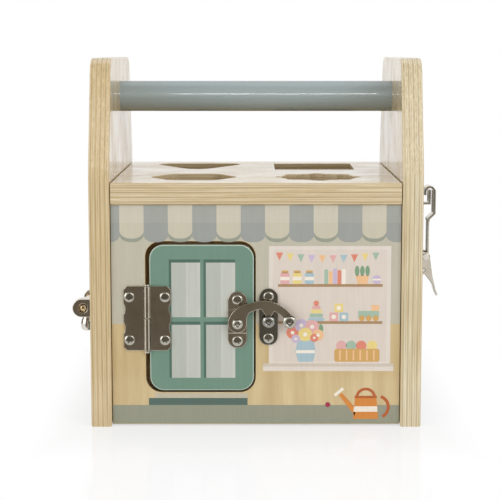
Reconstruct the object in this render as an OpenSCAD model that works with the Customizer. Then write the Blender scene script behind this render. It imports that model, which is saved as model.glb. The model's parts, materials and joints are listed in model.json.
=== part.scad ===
// Wooden activity cube: a box with four locked doors, four sorting holes and a carrying bar.
// Units are millimetres. The origin is under the middle of the box, +Z is up, the front faces -Y.

/* [Box] */
// width over the two side panels
width = 190; // [170:1:220]
// depth of the side panels, front to back
depth = 166; // [156:1:200]
// height of the side panels
height = 211; // [200:1:240]
// board of the side panels and the top plate
ply = 12; // [10:0.5:15]
// board of the front, back and bottom panels
thin_ply = 9; // [8:0.5:10]
// height of the top plate's upper face
plate_z = 141; // [140:1:150]
// how far the front and back panels stand behind the side panels' edges
recess = 2; // [1:0.5:3]
// how far the front and back panels stop above the table
panel_lift = 1; // [0.5:0.5:2]
// gap beside the front and back panels
panel_gap = 0.3; // [0.2:0.1:0.5]
// radius of the hidden dowels
dowel_r = 2.5; // [2:0.5:3]
// length of a hidden dowel
dowel_l = 24; // [20:1:28]
// depth of a hidden dowel in its side panel
dowel_in = 8; // [6:0.5:9]
// distance of the hidden dowels from the side panels' edges
dowel_edge = 27.7; // [20:0.1:32]

/* [Side panel outline] */
// height where the panels begin to narrow
shoulder_z = 146; // [142:1:155]
// how much each edge leans in between shoulder and top
shoulder_in = 19; // [12:1:26]
// rounding of the shoulders
shoulder_round = 40; // [10:5:60]
// rounding of the top corners
top_round = 12; // [6:1:18]

/* [Handle] */
// diameter of the bar
handle_d = 18.5; // [15:0.5:22]
// distance of the bar's axis below the side panels' top
handle_down = 23.5; // [19:0.5:31]
// depth of the bar's seat in each side panel
handle_seat = 7; // [4:0.5:8]
// clearance round the bar and the dowels in their seats
seat_gap = 0.1; // [0.05:0.05:0.2]

/* [Sorting holes] */
// distance of the hole centres from the middle, sideways
hole_x = 37; // [34:0.5:40]
// distance of the hole centres from the middle, front to back
hole_y = 40; // [36:0.5:44]
// side of the triangle, before its corners are rounded
triangle_side = 65; // [58:1:70]
// from the square's far side back to the triangle's
triangle_back = 2; // [0:0.5:4]
// radius of the triangle's corners
triangle_round = 8; // [6:0.5:9]
// side of the square
square_side = 50; // [42:1:52]
// hexagon, across its corners
hexagon_w = 53; // [46:0.2:56]
// radius of the hexagon's corners
hexagon_round = 8; // [4:0.5:10]
// diameter of the flower, over its petals
flower_d = 51; // [46:0.1:54]
// radius of a petal
petal_r = 4.5; // [3.6:0.1:5.4]
// number of petals
petals = 8; // [6:1:9]
// depth of the outline between two petals
petal_dip = 3.3; // [2.4:0.1:3.6]

/* [Doors] */
// width of the front and back openings
open_w = 63; // [56:1:68]
// stile beside the two side openings
side_stile = 37; // [35:0.5:41]
// height of the openings
open_h = 87.6; // [82:0.2:92]
// height of the openings' lower edge
open_z = 20; // [19:0.5:24]
// stile between the left side panel and the front opening
stile = 19.8; // [16:0.2:24]
// corner radius of the openings
open_round = 9; // [6:0.5:12]
// thickness of the doors
door_t = 9; // [7:0.5:9]
// gap on the hinge side
hinge_gap = 2.3; // [2:0.1:3]
// gap on the latch side
latch_gap = 1; // [0.9:0.1:1.6]
// gap above a door
top_gap = 2; // [1:0.1:2.5]
// gap below a door
bottom_gap = 1; // [0.6:0.1:2]

/* [Hinges] */
// length of a leaf along the axis
leaf_l = 37.4; // [30:0.2:44]
// width of a leaf from the axis
leaf_w = 13.6; // [12:0.1:16]
// thickness of the leaves
leaf_t = 1; // [0.8:0.1:1.2]
// cut at a leaf's outer corners
leaf_cut = 2; // [1:0.5:3]
// radius of the scallops in a leaf's outer edge
notch_r = 6; // [4:0.5:8]
// from the hinge's middle to the middle of each notch
notch_up = 5.5; // [4.5:0.5:7]
// depth of the scallops
notch = 1; // [0.6:0.1:1.2]
// outer radius of the knuckles
knuckle_r = 1.6; // [1.4:0.1:2]
// gap between the two knuckles
knuckle_gap = 0.3; // [0.2:0.1:0.5]
// radius of the pin
pin_r = 0.8; // [0.6:0.1:1]
// height of the caps on the pin's ends
cap_h = 1.1; // [0.8:0.1:1.4]
// running clearance round the pins
run_gap = 0.05; // [0.02:0.01:0.08]
// distance of the hinge axis from the edge of the opening
axis_in = 0.9; // [0.6:0.1:1.2]
// distance of the hinges below the middle of the openings
hinge_down = 0.6; // [0:0.1:4]
// distance of the hinge screws from the axis
hinge_screw_x = 10.2; // [9:0.1:11]
// distance of the hinge screws from the leaf's middle
hinge_screw_y = 12.5; // [10:0.5:14]

/* [Screws] */
// radius of a large screw head
head_r = 3.1; // [2.6:0.1:3.2]
// radius of a small screw head
small_head_r = 2.2; // [1.8:0.1:2.3]
// height of a screw head
head_h = 1.2; // [0.8:0.1:1.2]
// radius of a screw's shank
shank_r = 1.2; // [1:0.1:1.4]
// length of a screw's shank under its plate
shank_l = 6.5; // [5:0.5:7]
// clearance round a shank in its hole
pilot_gap = 0.1; // [0.05:0.05:0.15]
// room under a shank's end
pilot_end = 0.4; // [0.2:0.1:0.6]

/* [Front latch] */
// height of the arm's pivot
latch_z = 60.6; // [56:0.2:66]
// pivot's distance from the door's latch edge
latch_in = 9.4; // [8.5:0.1:11]
// thickness of the latch plates
plate_t = 0.9; // [0.7:0.1:1]
// width of the plate under the arm
latch_plate_w = 11; // [10.4:0.2:11.6]
// distance of that plate's upper screw above the pivot
latch_screw_up = 13.4; // [12.8:0.2:14.4]
// distance of that plate's lower screw below the pivot
latch_screw_down = 10.5; // [10:0.1:11]
// height of the raised seat under the arm
seat_h = 2.2; // [2.2:0.1:2.6]
// reach of the raised seat above the pivot
seat_up = 7.8; // [6:0.2:8.6]
// reach of the raised seat below the pivot
seat_down = 5.8; // [5.2:0.2:6.4]
// radius of the pivot rivet
rivet_r = 1.6; // [1.2:0.1:2]
// thickness of the rivet's head
rivet_h = 0.9; // [0.7:0.1:1.2]
// thickness of the arm
arm_t = 1.9; // [1.5:0.1:2.2]
// gap above and below the arm
arm_gap = 0.1; // [0.1:0.05:0.2]
// radius of the arm's arch, at its middle
arch_r = 17.2; // [16.8:0.05:17.6]
// width of the arch
arch_w = 4.8; // [4.4:0.1:5.2]
// distance of the arch's centre below the pivot
arch_down = 6.2; // [5.8:0.1:6.6]
// radius of the arm's eye
eye_r = 5.3; // [4.6:0.1:5.4]
// radius of the arm's broad shoulder over the eye
arm_shoulder = 14.9; // [14.4:0.1:15.4]
// distance of the shoulder's centre beside the pivot
arm_shoulder_x = 8.8; // [8.4:0.1:9.2]
// distance of the shoulder's centre below the pivot
arm_shoulder_down = 2.9; // [2.6:0.1:3.2]
// distance from the pivot to the button
button_x = 29.75; // [29.2:0.05:30.4]
// radius of the button
button_r = 3.9; // [3.4:0.1:4.4]
// height of the button
button_h = 1.9; // [1.5:0.1:2.5]
// radius of the button's stud
stud_r = 1.5; // [1.2:0.1:2]
// distance from the pivot to the catch post
post_x = 17.8; // [17:0.1:19]
// height of the catch post above the pivot
post_up = 1.4; // [1:0.1:1.8]
// radius of the catch post
post_r = 2.4; // [2:0.1:2.6]
// radius of the post's head
post_head_r = 3.6; // [3.2:0.1:4]
// thickness of the post's head
post_head_h = 1; // [0.8:0.1:1.4]
// gap between the post and the arm's nose
nose_gap = 0.6; // [0.4:0.1:0.8]
// width of the catch plate
catch_plate_w = 10.8; // [10:0.2:11.4]
// distance of the catch plate's upper screw above the pivot
catch_screw_up = 15.3; // [14.6:0.1:16]
// distance of the catch plate's lower screw below the pivot
catch_screw_down = 8.8; // [8.4:0.1:9.4]

/* [Side bolt] */
// height of the bolt's axis
bolt_z = 64.5; // [58:0.5:70]
// distance of the bolt's axis from the panel
bolt_out = 7.2; // [7:0.1:8]
// radius of the bolt
bolt_r = 2.3; // [1.8:0.1:2.5]
// travel of the bolt
bolt_travel = 14; // [12:1:16]
// distance of the knob from the edge of the opening
knob_in = 13; // [12:0.5:15]
// radius of the knob
knob_r = 3.7; // [3:0.1:3.9]
// length of the knob below the bolt's axis
knob_l = 17.4; // [15:0.2:19]
// radius of the knob's stem
stem_r = 1.7; // [1.4:0.1:1.9]
// radius of the knob's peg in the bolt
peg_r = 1.15; // [0.9:0.05:1.3]
// clearance round the peg
peg_gap = 0.05; // [0.02:0.01:0.08]
// outer radius of the guides
guide_r = 4; // [3.6:0.1:4.4]
// length of the guide next to the keeper
front_guide = 5.5; // [4.5:0.5:6]
// length of the other guide
rear_guide = 7; // [5:0.5:9]
// room between the knob's axis and a guide
knob_room = 4; // [3.9:0.1:4.5]
// room between the drawn knob's axis and the rear guide
stop_room = 7; // [5:0.5:9]
// length of bolt behind the rear guide
bolt_tail = 3.5; // [2:0.5:6]
// height of the base plate
bolt_plate_h = 18.4; // [17.8:0.2:22]
// thickness of the base plate
bolt_plate_t = 1; // [0.8:0.1:1.2]
// distance of the base plate's screws from the bolt's axis
bolt_screw_y = 6.5; // [6.4:0.1:6.8]
// distance between the base plate's screws along the bolt
bolt_screw_x = 16.5; // [15:0.5:17]
// gap between the opening and the keeper
keeper_gap = 1; // [0.8:0.1:1.5]
// width of the keeper along the bolt
keeper_l = 8; // [7:0.5:9]
// outer radius of the keeper's arch
keeper_r = 5.3; // [5:0.1:5.6]
// thickness of the keeper
keeper_t = 1.1; // [0.9:0.1:1.3]
// height of the arch's centre over the bolt's axis
keeper_rise = 0.8; // [0.6:0.1:1]
// gap round the bolt in the keeper's bore
keeper_bore = 0.5; // [0.4:0.05:0.7]
// distance of the keeper's ends from the bolt's axis
keeper_foot = 12.5; // [12:0.5:14]
// distance of the keeper's screws from the bolt's axis
keeper_screw = 9; // [8.6:0.1:9.4]

/* [Toggle latch] */
// distance of the lever's pivot below the opening's upper edge
lever_down = 19.1; // [18.5:0.1:20]
// distance of the lever's pivot from the panel
lever_out = 10; // [9.6:0.1:10.6]
// width over the lever's sides
lever_w = 10.4; // [10:0.2:11]
// sheet of the lever and the ears
sheet_t = 1.2; // [1:0.1:1.4]
// distance between the lever's pivot and the claw's pin
claw_down = 8.5; // [8:0.1:9]
// how much nearer the panel the claw's pin lies than the lever's pivot
claw_back = 1.2; // [1:0.1:1.4]
// radius of the lever's eyes
lever_eye = 2.8; // [2.5:0.1:3]
// distance of the lever's bend below its pivot
bend_down = 13; // [12:0.5:14]
// distance of the bend outside the pivot
bend_out = 4.7; // [4.4:0.1:5]
// distance of the lever's tip below its pivot
tip_down = 21; // [20:0.5:23]
// distance of the tip outside the pivot
tip_out = 6.7; // [6.4:0.1:7.4]
// length of the turned end of the tip
tip_curl = 3.2; // [2.4:0.1:3.6]
// radius of the pivot pins
pivot_r = 1.2; // [1:0.1:1.3]
// radius of the rivet heads
pivot_head_r = 2.1; // [1.8:0.1:2.4]
// thickness of the rivet heads
pivot_head_h = 0.8; // [0.6:0.1:1]
// gap between a lever's side and its ear
ear_gap = 0.4; // [0.3:0.1:0.5]
// radius of the ears' tops
ear_r = 2.9; // [2.6:0.1:3.1]
// half length of an ear at its foot
ear_foot = 5.5; // [5:0.1:6]
// width of the base plate
toggle_base_w = 18; // [17:0.5:20]
// thickness of the base plate
toggle_base_t = 1; // [0.8:0.1:1.2]
// reach of the base plate below the pivot
toggle_base_down = 14.5; // [14:0.5:16]
// reach of the base plate above the pivot
toggle_base_up = 12.5; // [12:0.5:14]
// distance of the base plate's screws from the middle
toggle_screw_x = 5.5; // [5:0.1:5.7]
// distance of the base plate's screws from its ends
toggle_screw_in = 3; // [2.8:0.1:3.4]
// width of the claw's strip
claw_w = 6.8; // [6:0.2:7]
// width of the claw's hook
hook_w = 12; // [11:0.5:14]
// strip of the claw and the keeper's lip
claw_t = 1.4; // [1.2:0.1:1.5]
// radius of the claw's eye
claw_eye = 2.3; // [2:0.1:2.4]
// distance of the strip's outer face from the claw's pin
strip_out = 3.5; // [3.3:0.1:3.7]
// outer radius of the claw's hook
claw_r = 3.6; // [3.4:0.1:3.8]
// length of the widened end behind the hook
hook_run = 17.4; // [16:0.2:18]
// length along which the claw steps out
jog_l = 3.5; // [3:0.1:4]
// height of the keeper's lip over the opening
lip_up = 22.4; // [22:0.2:24]
// length of the lip
lip_l = 9.2; // [8.8:0.1:9.6]
// width of the lip
lip_w = 10; // [9:0.5:11]
// gap between the lip and the hook's bend
lip_gap = 1.1; // [0.9:0.1:1.3]
// width of the keeper's plate
toggle_keeper_w = 16; // [15:0.5:18]
// gap between the opening and the keeper's plate
toggle_keeper_gap = 1.9; // [1.5:0.1:2.2]
// height of the keeper's plate
toggle_keeper_h = 18.5; // [18:0.1:19]
// distance of the keeper's screws above its lower edge
toggle_keeper_low = 4.1; // [3.6:0.1:4.4]
// distance of the keeper's screws from the middle
toggle_keeper_screw = 4.6; // [4.2:0.1:5]

/* [Back hook] */
// height of the hook
hook_z = 64; // [56:1:72]
// distance of the hook's pivot from the edge of the opening
hook_in = 13.5; // [12:0.5:15]
// distance from the hook's pivot to its post
hook_l = 26; // [24:1:28]
// thickness of the hook
hook_t = 1.7; // [1.4:0.1:2]
// radius of the hook's eye
hook_eye = 4.6; // [4:0.1:5]
// radius of the hook's end
hook_end = 6; // [5.4:0.1:6.6]
// length of the finger tab
hook_tab = 11; // [8:0.5:14]
// radius of the pivot's neck
hook_neck_r = 1.8; // [1.6:0.1:2]
// radius of the post's neck
hook_post_r = 2.2; // [1.8:0.1:2.4]
// gap between the post's neck and the hook's slot
hook_gap = 0.5; // [0.3:0.1:0.6]
// radius of the collars against the wood
collar_r = 3.2; // [2.8:0.1:3.6]
// thickness of the collars
collar_h = 1.2; // [1:0.1:1.4]
// radius of the heads
hook_head_r = 3.4; // [3:0.1:3.8]
// thickness of the heads
hook_head_h = 1.2; // [0.8:0.1:1.4]
// radius of the pivot's and the post's shanks
hook_shank_r = 1.6; // [1.3:0.1:1.8]
// length of the pivot's and the post's shanks
hook_shank_l = 5; // [4:0.5:6]

/* [Hidden] */
inner_w = width - 2 * ply;
face_y = depth / 2 - recess;
face_x = width / 2;
plate_low = plate_z - ply;
dowel_y = depth / 2 - dowel_edge;
dowel_rows = [plate_z - ply / 2, thin_ply / 2];
handle_z = height - handle_down;
axis_out = knuckle_r;
side_open_w = depth - 2 * side_stile;
open_top = open_z + open_h;
door_round = open_round - latch_gap;
door_low = open_z + bottom_gap;
door_top = open_top - top_gap;
front_x0 = -inner_w / 2 + stile;
back_x0 = -open_w / 2;
side_x0 = -side_open_w / 2;
hinge_z = open_z + open_h / 2 - hinge_down;
flap_axis_z = open_z + axis_in;
front_pivot = [front_x0 + open_w - latch_gap - latch_in, latch_z];
arm_low = seat_h + arm_gap;
arm_top = arm_low + arm_t;
knob_x = side_open_w / 2 - knob_in;
rear_guide_x = knob_x - bolt_travel - stop_room;
keeper_x = side_open_w / 2 + keeper_gap;
lever_z = open_top - lever_down;
claw_z = lever_z - claw_down;
claw_out = lever_out - claw_back;
lip_top = open_top + lip_up;
hook_x = back_x0 + open_w - hook_in;
hook_low = collar_h + arm_gap;
hook_top = hook_low + hook_t;
$fn = 64;

// Screw places on each face, as [sideways, height, plate thickness].
function hinge_spots(x, side) = [
    for (m = [-1, 1]) [x + axis_in + side * hinge_screw_x, hinge_z + m * hinge_screw_y, leaf_t]
];
function flap_spots(side) = [
    for (m = [-1, 1]) [m * hinge_screw_y, flap_axis_z + side * hinge_screw_x, leaf_t]
];
catch_spots = [
    [front_pivot[0] + post_x, latch_z + catch_screw_up, plate_t],
    [front_pivot[0] + post_x, latch_z - catch_screw_down, plate_t]
];
latch_spots = [
    [front_pivot[0], latch_z + latch_screw_up, plate_t],
    [front_pivot[0], latch_z - latch_screw_down, plate_t]
];
keeper_spots = [
    for (m = [-1, 1]) [keeper_x + keeper_l / 2, bolt_z + m * keeper_screw, keeper_t]
];
bolt_spots = [
    for (x = [knob_x - bolt_screw_x, knob_x], m = [-1, 1]) [x, bolt_z + m * bolt_screw_y, bolt_plate_t]
];
toggle_keeper_spots = [
    for (m = [-1, 1]) [m * toggle_keeper_screw, open_top + toggle_keeper_gap + toggle_keeper_low, keeper_t]
];
toggle_low = lever_z - toggle_base_down + toggle_screw_in;
toggle_high = lever_z + toggle_base_up - toggle_screw_in;
toggle_base_spots = [
    for (y = [toggle_low, toggle_high], m = [-1, 1]) [m * toggle_screw_x, y, toggle_base_t]
];
front_frame_spots = concat(hinge_spots(front_x0, -1), catch_spots);
front_door_spots = concat(hinge_spots(front_x0, 1), latch_spots);

// Each face has a flat frame of its own: x sideways, y up, z out of the face.
module on_front() translate([0, -face_y, 0]) rotate([90, 0, 0]) children();
module on_back() translate([0, face_y, 0]) rotate([90, 0, 180]) children();
module on_left() translate([-face_x, 0, 0]) rotate([90, 0, -90]) children();
module on_right() translate([face_x, 0, 0]) rotate([90, 0, 90]) children();

// Draws an outline given as [height, out] and gives it a width along x.
module across(x0, x1) translate([x0, 0, 0]) rotate([90, 0, 90]) linear_extrude(x1 - x0) children();

module rounded(x0, y0, x1, y1, r) {
    translate([x0 + r, y0]) square([x1 - x0 - 2 * r, y1 - y0]);
    translate([x0, y0 + r]) square([x1 - x0, y1 - y0 - 2 * r]);
    for (x = [x0 + r, x1 - r], y = [y0 + r, y1 - r]) translate([x, y]) circle(r);
}

module disc(x, y, z0, z1, r) translate([x, y, z0]) cylinder(r = r, h = z1 - z0);

// A round bar lying along x, or standing along y, from p to p + l.
module bar_x(p, l, r) translate(p) rotate([0, 90, 0]) cylinder(r = r, h = l);
module bar_y(p, l, r) translate(p) rotate([-90, 0, 0]) cylinder(r = r, h = l);

// A domed head on a plain shank, standing at the plate's upper face.
module screw(r) {
    dome = (r * r + head_h * head_h) / (2 * head_h);
    intersection() {
        translate([0, 0, head_h - dome]) sphere(dome);
        cylinder(r = 2 * r, h = 2 * head_h);
    }
    translate([0, 0, -shank_l]) cylinder(r = shank_r, h = shank_l);
}

module screws(spots, r) for (s = spots) translate([s[0], s[1], s[2]]) screw(r);

module pilots(spots) {
    for (s = spots) disc(s[0], s[1], s[2] - shank_l - pilot_end, 2 * s[2], shank_r + pilot_gap);
}

module opening(x0, w, t) {
    translate([0, 0, -2 * t]) linear_extrude(3 * t)
        rounded(x0, open_z, x0 + w, open_top, open_round);
}

// Hinge parts: the axis runs along y at x = 0, the frame leaf lies at -x and the door leaf at +x.
module leaf_outline() {
    half = leaf_l / 2;
    difference() {
        translate([0, -half]) square([leaf_w, leaf_l]);
        for (m = [-1, 1]) {
            translate([leaf_w + notch_r - notch, m * notch_up]) circle(notch_r);
            polygon([
                [leaf_w - leaf_cut, m * half], [leaf_w, m * (half - leaf_cut)],
                [leaf_w + leaf_cut, m * (half + leaf_cut)]
            ]);
        }
    }
}

// Drawn as the door leaf, with its knuckle from y0 to y1.
module hinge_leaf(y0, y1) {
    clear = knuckle_r + knuckle_gap;
    difference() {
        union() {
            linear_extrude(leaf_t) intersection() {
                leaf_outline();
                union() {
                    translate([clear, -leaf_l]) square([leaf_w, 2 * leaf_l]);
                    translate([0, y0]) square([leaf_w, y1 - y0]);
                }
            }
            bar_y([0, y0, axis_out], y1 - y0, knuckle_r);
        }
        for (m = [-1, 1])
            disc(hinge_screw_x, m * hinge_screw_y, -leaf_t, 2 * leaf_t, shank_r + pilot_gap);
        bar_y([0, -leaf_l, axis_out], 2 * leaf_l, pin_r + run_gap);
    }
}

module door_leaf() hinge_leaf(knuckle_gap / 2, leaf_l / 2);
module frame_leaf() mirror([1, 0, 0]) hinge_leaf(-leaf_l / 2, -knuckle_gap / 2);

module hinge_rod() {
    end = leaf_l / 2 + run_gap * 2;
    bar_y([0, -end, axis_out], 2 * end, pin_r);
    bar_y([0, end, axis_out], cap_h, knuckle_r - run_gap * 2);
    bar_y([0, -end - cap_h, axis_out], cap_h, knuckle_r - run_gap * 2);
}

module at_front_hinge() on_front() translate([front_x0 + axis_in, hinge_z, 0]) children();
module at_left_hinge() on_left() translate([side_x0 + axis_in, hinge_z, 0]) children();
module at_back_hinge() on_back() translate([back_x0 + axis_in, hinge_z, 0]) children();
module at_right_hinge() on_right() translate([0, flap_axis_z, 0]) rotate([0, 0, 90]) children();

// Boards

// The corners are cut straight between the ends of their roundings, and discs fill them out.
module side_outline() {
    half = depth / 2;
    lean = atan2(shoulder_in, height - shoulder_z);
    top_half = half - shoulder_in;
    bend = shoulder_round * tan(lean / 2);
    cut = top_round * tan((90 - lean) / 2);
    for (m = [0, 1]) mirror([m, 0]) {
        polygon([
            [0, 0], [half, 0], [half, shoulder_z - bend],
            [half - bend * sin(lean), shoulder_z + bend * cos(lean)],
            [top_half + cut * sin(lean), height - cut * cos(lean)],
            [top_half - cut, height], [0, height]
        ]);
        translate([half - shoulder_round, shoulder_z - bend]) circle(shoulder_round, $fn = 192);
        translate([top_half - cut, height - top_round]) circle(top_round);
    }
}

module dowel_holes(h) {
    for (x = [-dowel_y, dowel_y], y = dowel_rows)
        disc(x, y, -2 * ply, h, dowel_r + seat_gap);
}

module side_board() {
    difference() {
        translate([0, 0, -ply]) linear_extrude(ply) side_outline();
        opening(side_x0, side_open_w, ply);
        disc(0, handle_z, -2 * ply, handle_seat - ply, handle_d / 2 + seat_gap);
        dowel_holes(dowel_in + panel_gap - ply);
    }
}

module left_side_panel() {
    color("burlywood") on_left() difference() {
        side_board();
        pilots(hinge_spots(side_x0, -1));
        pilots(keeper_spots);
    }
}

module right_side_panel() {
    color("burlywood") on_right() difference() {
        side_board();
        pilots(flap_spots(-1));
        pilots(toggle_keeper_spots);
    }
}

// A regular outline with n rounded corners; the corners lie on a circle before they are rounded.
module soft_polygon(n, reach, r, turn) {
    centre = reach - r / sin(90 - 180 / n);
    polygon([
        for (k = [0:n - 1], j = [-4:4])
            let (way = turn + 360 * k / n, a = way + 45 * j / n)
                centre * [cos(way), sin(way)] + r * [cos(a), sin(a)]
    ]);
}

module sorting_holes() {
    reach = triangle_side / sqrt(3);
    translate([-hole_x, hole_y + (square_side - reach) / 2 + triangle_back])
        soft_polygon(3, reach, triangle_round, -90);
    translate([hole_x, hole_y]) square(square_side, center = true);
    translate([-hole_x, -hole_y]) soft_polygon(6, hexagon_w / 2, hexagon_round, 0);
    translate([hole_x, -hole_y]) {
        circle(flower_d / 2 - petal_dip);
        for (k = [1:petals]) rotate(360 * k / petals) translate([flower_d / 2 - petal_r, 0]) circle(petal_r);
    }
}

// A dowel, or with a clearance its hole, at each end of the two plates.
module dowels(rows, gap, end) {
    for (m = [0, 1], y = [-dowel_y, dowel_y], z = rows) mirror([m, 0, 0])
        bar_x([inner_w / 2 + dowel_in - dowel_l - end, y, z], dowel_l + 2 * end, dowel_r + gap);
}

module top_plate() {
    color("wheat") difference() {
        translate([-inner_w / 2, -depth / 2, plate_low]) cube([inner_w, depth, ply]);
        translate([0, 0, plate_low - ply]) linear_extrude(3 * ply) sorting_holes();
        dowels([dowel_rows[0]], seat_gap, panel_gap);
    }
}

module end_board(x0) {
    wide = inner_w - 2 * panel_gap;
    difference() {
        translate([-wide / 2, panel_lift, -thin_ply]) cube([wide, plate_low - panel_lift, thin_ply]);
        opening(x0, open_w, thin_ply);
    }
}

module front_panel() {
    color("tan") on_front() difference() {
        end_board(front_x0);
        pilots(front_frame_spots);
    }
}

module back_panel() {
    color("tan") on_back() difference() {
        end_board(back_x0);
        pilots(hinge_spots(back_x0, -1));
        hook_pilot(hook_x + hook_l);
    }
}

module bottom_plate() {
    half = face_y - thin_ply;
    color("wheat") difference() {
        translate([-inner_w / 2, -half, 0]) cube([inner_w, 2 * half, thin_ply]);
        dowels([dowel_rows[1]], seat_gap, panel_gap);
    }
}

module handle_bar() {
    reach = inner_w + 2 * (handle_seat - seat_gap);
    color("slategray") bar_x([-reach / 2, 0, handle_z], reach, handle_d / 2);
}

module panel_dowels() color("peru") dowels(dowel_rows, 0, 0);

// Doors

module slab(x0, w) {
    translate([0, 0, -door_t]) linear_extrude(door_t)
        rounded(x0 + hinge_gap, door_low, x0 + w - latch_gap, door_top, door_round);
}

module front_door_slab() {
    color("seagreen") on_front() difference() {
        slab(front_x0, open_w);
        pilots(front_door_spots);
    }
}

module left_door_slab() {
    color("seagreen") on_left() difference() {
        slab(side_x0, side_open_w);
        pilots(hinge_spots(side_x0, 1));
        pilots(bolt_spots);
    }
}

module right_door_slab() {
    x1 = side_open_w / 2 - bottom_gap;
    color("seagreen") on_right() difference() {
        translate([0, 0, -door_t]) linear_extrude(door_t)
            rounded(-x1, open_z + hinge_gap, x1, open_top - latch_gap, door_round);
        pilots(flap_spots(1));
        pilots(toggle_base_spots);
    }
}

module back_door_slab() {
    color("seagreen") on_back() difference() {
        slab(back_x0, open_w);
        pilots(hinge_spots(back_x0, 1));
        hook_pilot(hook_x);
    }
}

// Hinges

module front_hinge_frame_leaf() color("silver") at_front_hinge() frame_leaf();
module left_hinge_frame_leaf() color("silver") at_left_hinge() frame_leaf();
module right_hinge_frame_leaf() color("silver") at_right_hinge() frame_leaf();
module back_hinge_frame_leaf() color("silver") at_back_hinge() frame_leaf();
module front_hinge_door_leaf() color("silver") at_front_hinge() door_leaf();
module left_hinge_door_leaf() color("silver") at_left_hinge() door_leaf();
module right_hinge_door_leaf() color("silver") at_right_hinge() door_leaf();
module back_hinge_door_leaf() color("silver") at_back_hinge() door_leaf();
module front_hinge_pin() color("gray") at_front_hinge() hinge_rod();
module left_hinge_pin() color("gray") at_left_hinge() hinge_rod();
module right_hinge_pin() color("gray") at_right_hinge() hinge_rod();
module back_hinge_pin() color("gray") at_back_hinge() hinge_rod();

// Screws

module front_frame_screws() color("gainsboro") on_front() screws(front_frame_spots, head_r);
module front_door_screws() color("gainsboro") on_front() screws(front_door_spots, head_r);
module left_frame_screws() color("gainsboro") on_left() {
    screws(hinge_spots(side_x0, -1), head_r);
    screws(keeper_spots, small_head_r);
}
module left_door_screws() color("gainsboro") on_left() {
    screws(hinge_spots(side_x0, 1), head_r);
    screws(bolt_spots, small_head_r);
}
module right_frame_screws() color("gainsboro") on_right() {
    screws(flap_spots(-1), head_r);
    screws(toggle_keeper_spots, small_head_r);
}
module right_door_screws() color("gainsboro") on_right() {
    screws(flap_spots(1), head_r);
    screws(toggle_base_spots, small_head_r);
}
module back_frame_screws() color("gainsboro") on_back() screws(hinge_spots(back_x0, -1), head_r);
module back_door_screws() color("gainsboro") on_back() screws(hinge_spots(back_x0, 1), head_r);

// Front latch: an arched arm on the door drops its nose behind the head of a post on the frame.

module at_latch() on_front() translate([front_pivot[0], front_pivot[1], 0]) children();

// A plate with a round upper end and rounded lower corners, its screws up and down from the middle.
module latch_plate(w, up, down) {
    low_r = 3;
    top = up - low_r / 4;
    low = down + low_r / 3;
    difference() {
        linear_extrude(plate_t) {
            translate([-w / 2, -low]) square([w, low + top]);
            translate([low_r - w / 2, -low - low_r]) square([w - 2 * low_r, 2 * low_r]);
            for (m = [-1, 1]) translate([m * (w / 2 - low_r), -low]) circle(low_r);
            translate([0, top]) circle(w / 2);
        }
        for (y = [up, -down]) disc(0, y, -plate_t, 2 * plate_t, shank_r + pilot_gap);
    }
}

module front_latch_base() {
    color("silver") at_latch() difference() {
        union() {
            latch_plate(latch_plate_w, latch_screw_up, latch_screw_down);
            translate([-latch_plate_w / 2, -seat_down, 0])
                cube([latch_plate_w, seat_down + seat_up, seat_h]);
        }
        disc(0, 0, -seat_h, 2 * seat_h, rivet_r + run_gap);
    }
}

module front_latch_rivet() {
    top = arm_top + arm_gap;
    color("gainsboro") at_latch() {
        disc(0, 0, 0, top, rivet_r);
        disc(0, 0, top, top + rivet_h, head_r);
    }
}

module front_latch_arm() {
    mid = [button_x / 2, -arch_down];
    nose = post_up + post_r + nose_gap;
    color("silver") at_latch() difference() {
        translate([0, 0, arm_low]) linear_extrude(arm_t) {
            intersection() {
                translate(mid) difference() {
                    circle(arch_r + arch_w / 2);
                    circle(arch_r - arch_w / 2);
                }
                polygon([mid, for (a = [27, 60, 92, 125, 157]) mid + 2 * arch_r * [cos(a), sin(a)]]);
            }
            circle(eye_r);
            intersection() {
                translate([arm_shoulder_x, -arm_shoulder_down]) circle(arm_shoulder);
                polygon(eye_r * [
                    [-2, 0], [1, 0], [1, 0.6], [1.26, 1.2], [1.8, 1.52], [2.4, 1.6], [2.4, 3], [-2, 3]
                ]);
            }
            translate([button_x, post_up]) circle(button_r - 0.3);
            polygon([
                [post_x - nose, 2 * nose], [post_x - post_up, nose], [post_x + post_up, nose],
                [post_x + nose, 2 * nose], [post_x, 2 * nose + nose_gap]
            ]);
        }
        disc(0, 0, 0, 2 * arm_top, rivet_r + run_gap);
        disc(button_x, post_up, 0, 2 * arm_top, stud_r + run_gap);
    }
}

module front_latch_button() {
    color("gainsboro") at_latch() {
        disc(button_x, post_up, arm_low, arm_top, stud_r);
        disc(button_x, post_up, arm_top, arm_top + button_h, button_r);
    }
}

module front_catch_plate() {
    color("silver") at_latch() translate([post_x, 0, 0]) difference() {
        latch_plate(catch_plate_w, catch_screw_up, catch_screw_down);
        disc(0, post_up, -plate_t, 2 * plate_t, post_r + run_gap);
    }
}

module front_catch_post() {
    neck = arm_top + 2 * arm_gap;
    color("gainsboro") at_latch() {
        disc(post_x, post_up, 0, neck, post_r);
        disc(post_x, post_up, neck, neck + post_head_h, post_head_r);
    }
}

// Left side bolt: a rod slides out of two guides into an arched keeper.

module left_bolt_keeper() {
    top = bolt_out + keeper_rise;
    color("silver") on_left() difference() {
        across(keeper_x, keeper_x + keeper_l) difference() {
            union() {
                translate([bolt_z, top]) circle(keeper_r);
                translate([bolt_z - keeper_r, 0]) square([2 * keeper_r, top]);
                translate([bolt_z - keeper_foot, 0]) square([2 * keeper_foot, keeper_t]);
            }
            translate([bolt_z, bolt_out]) circle(bolt_r + keeper_bore);
        }
        for (s = keeper_spots) disc(s[0], s[1], -keeper_t, 2 * keeper_t, shank_r + pilot_gap);
    }
}

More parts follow.
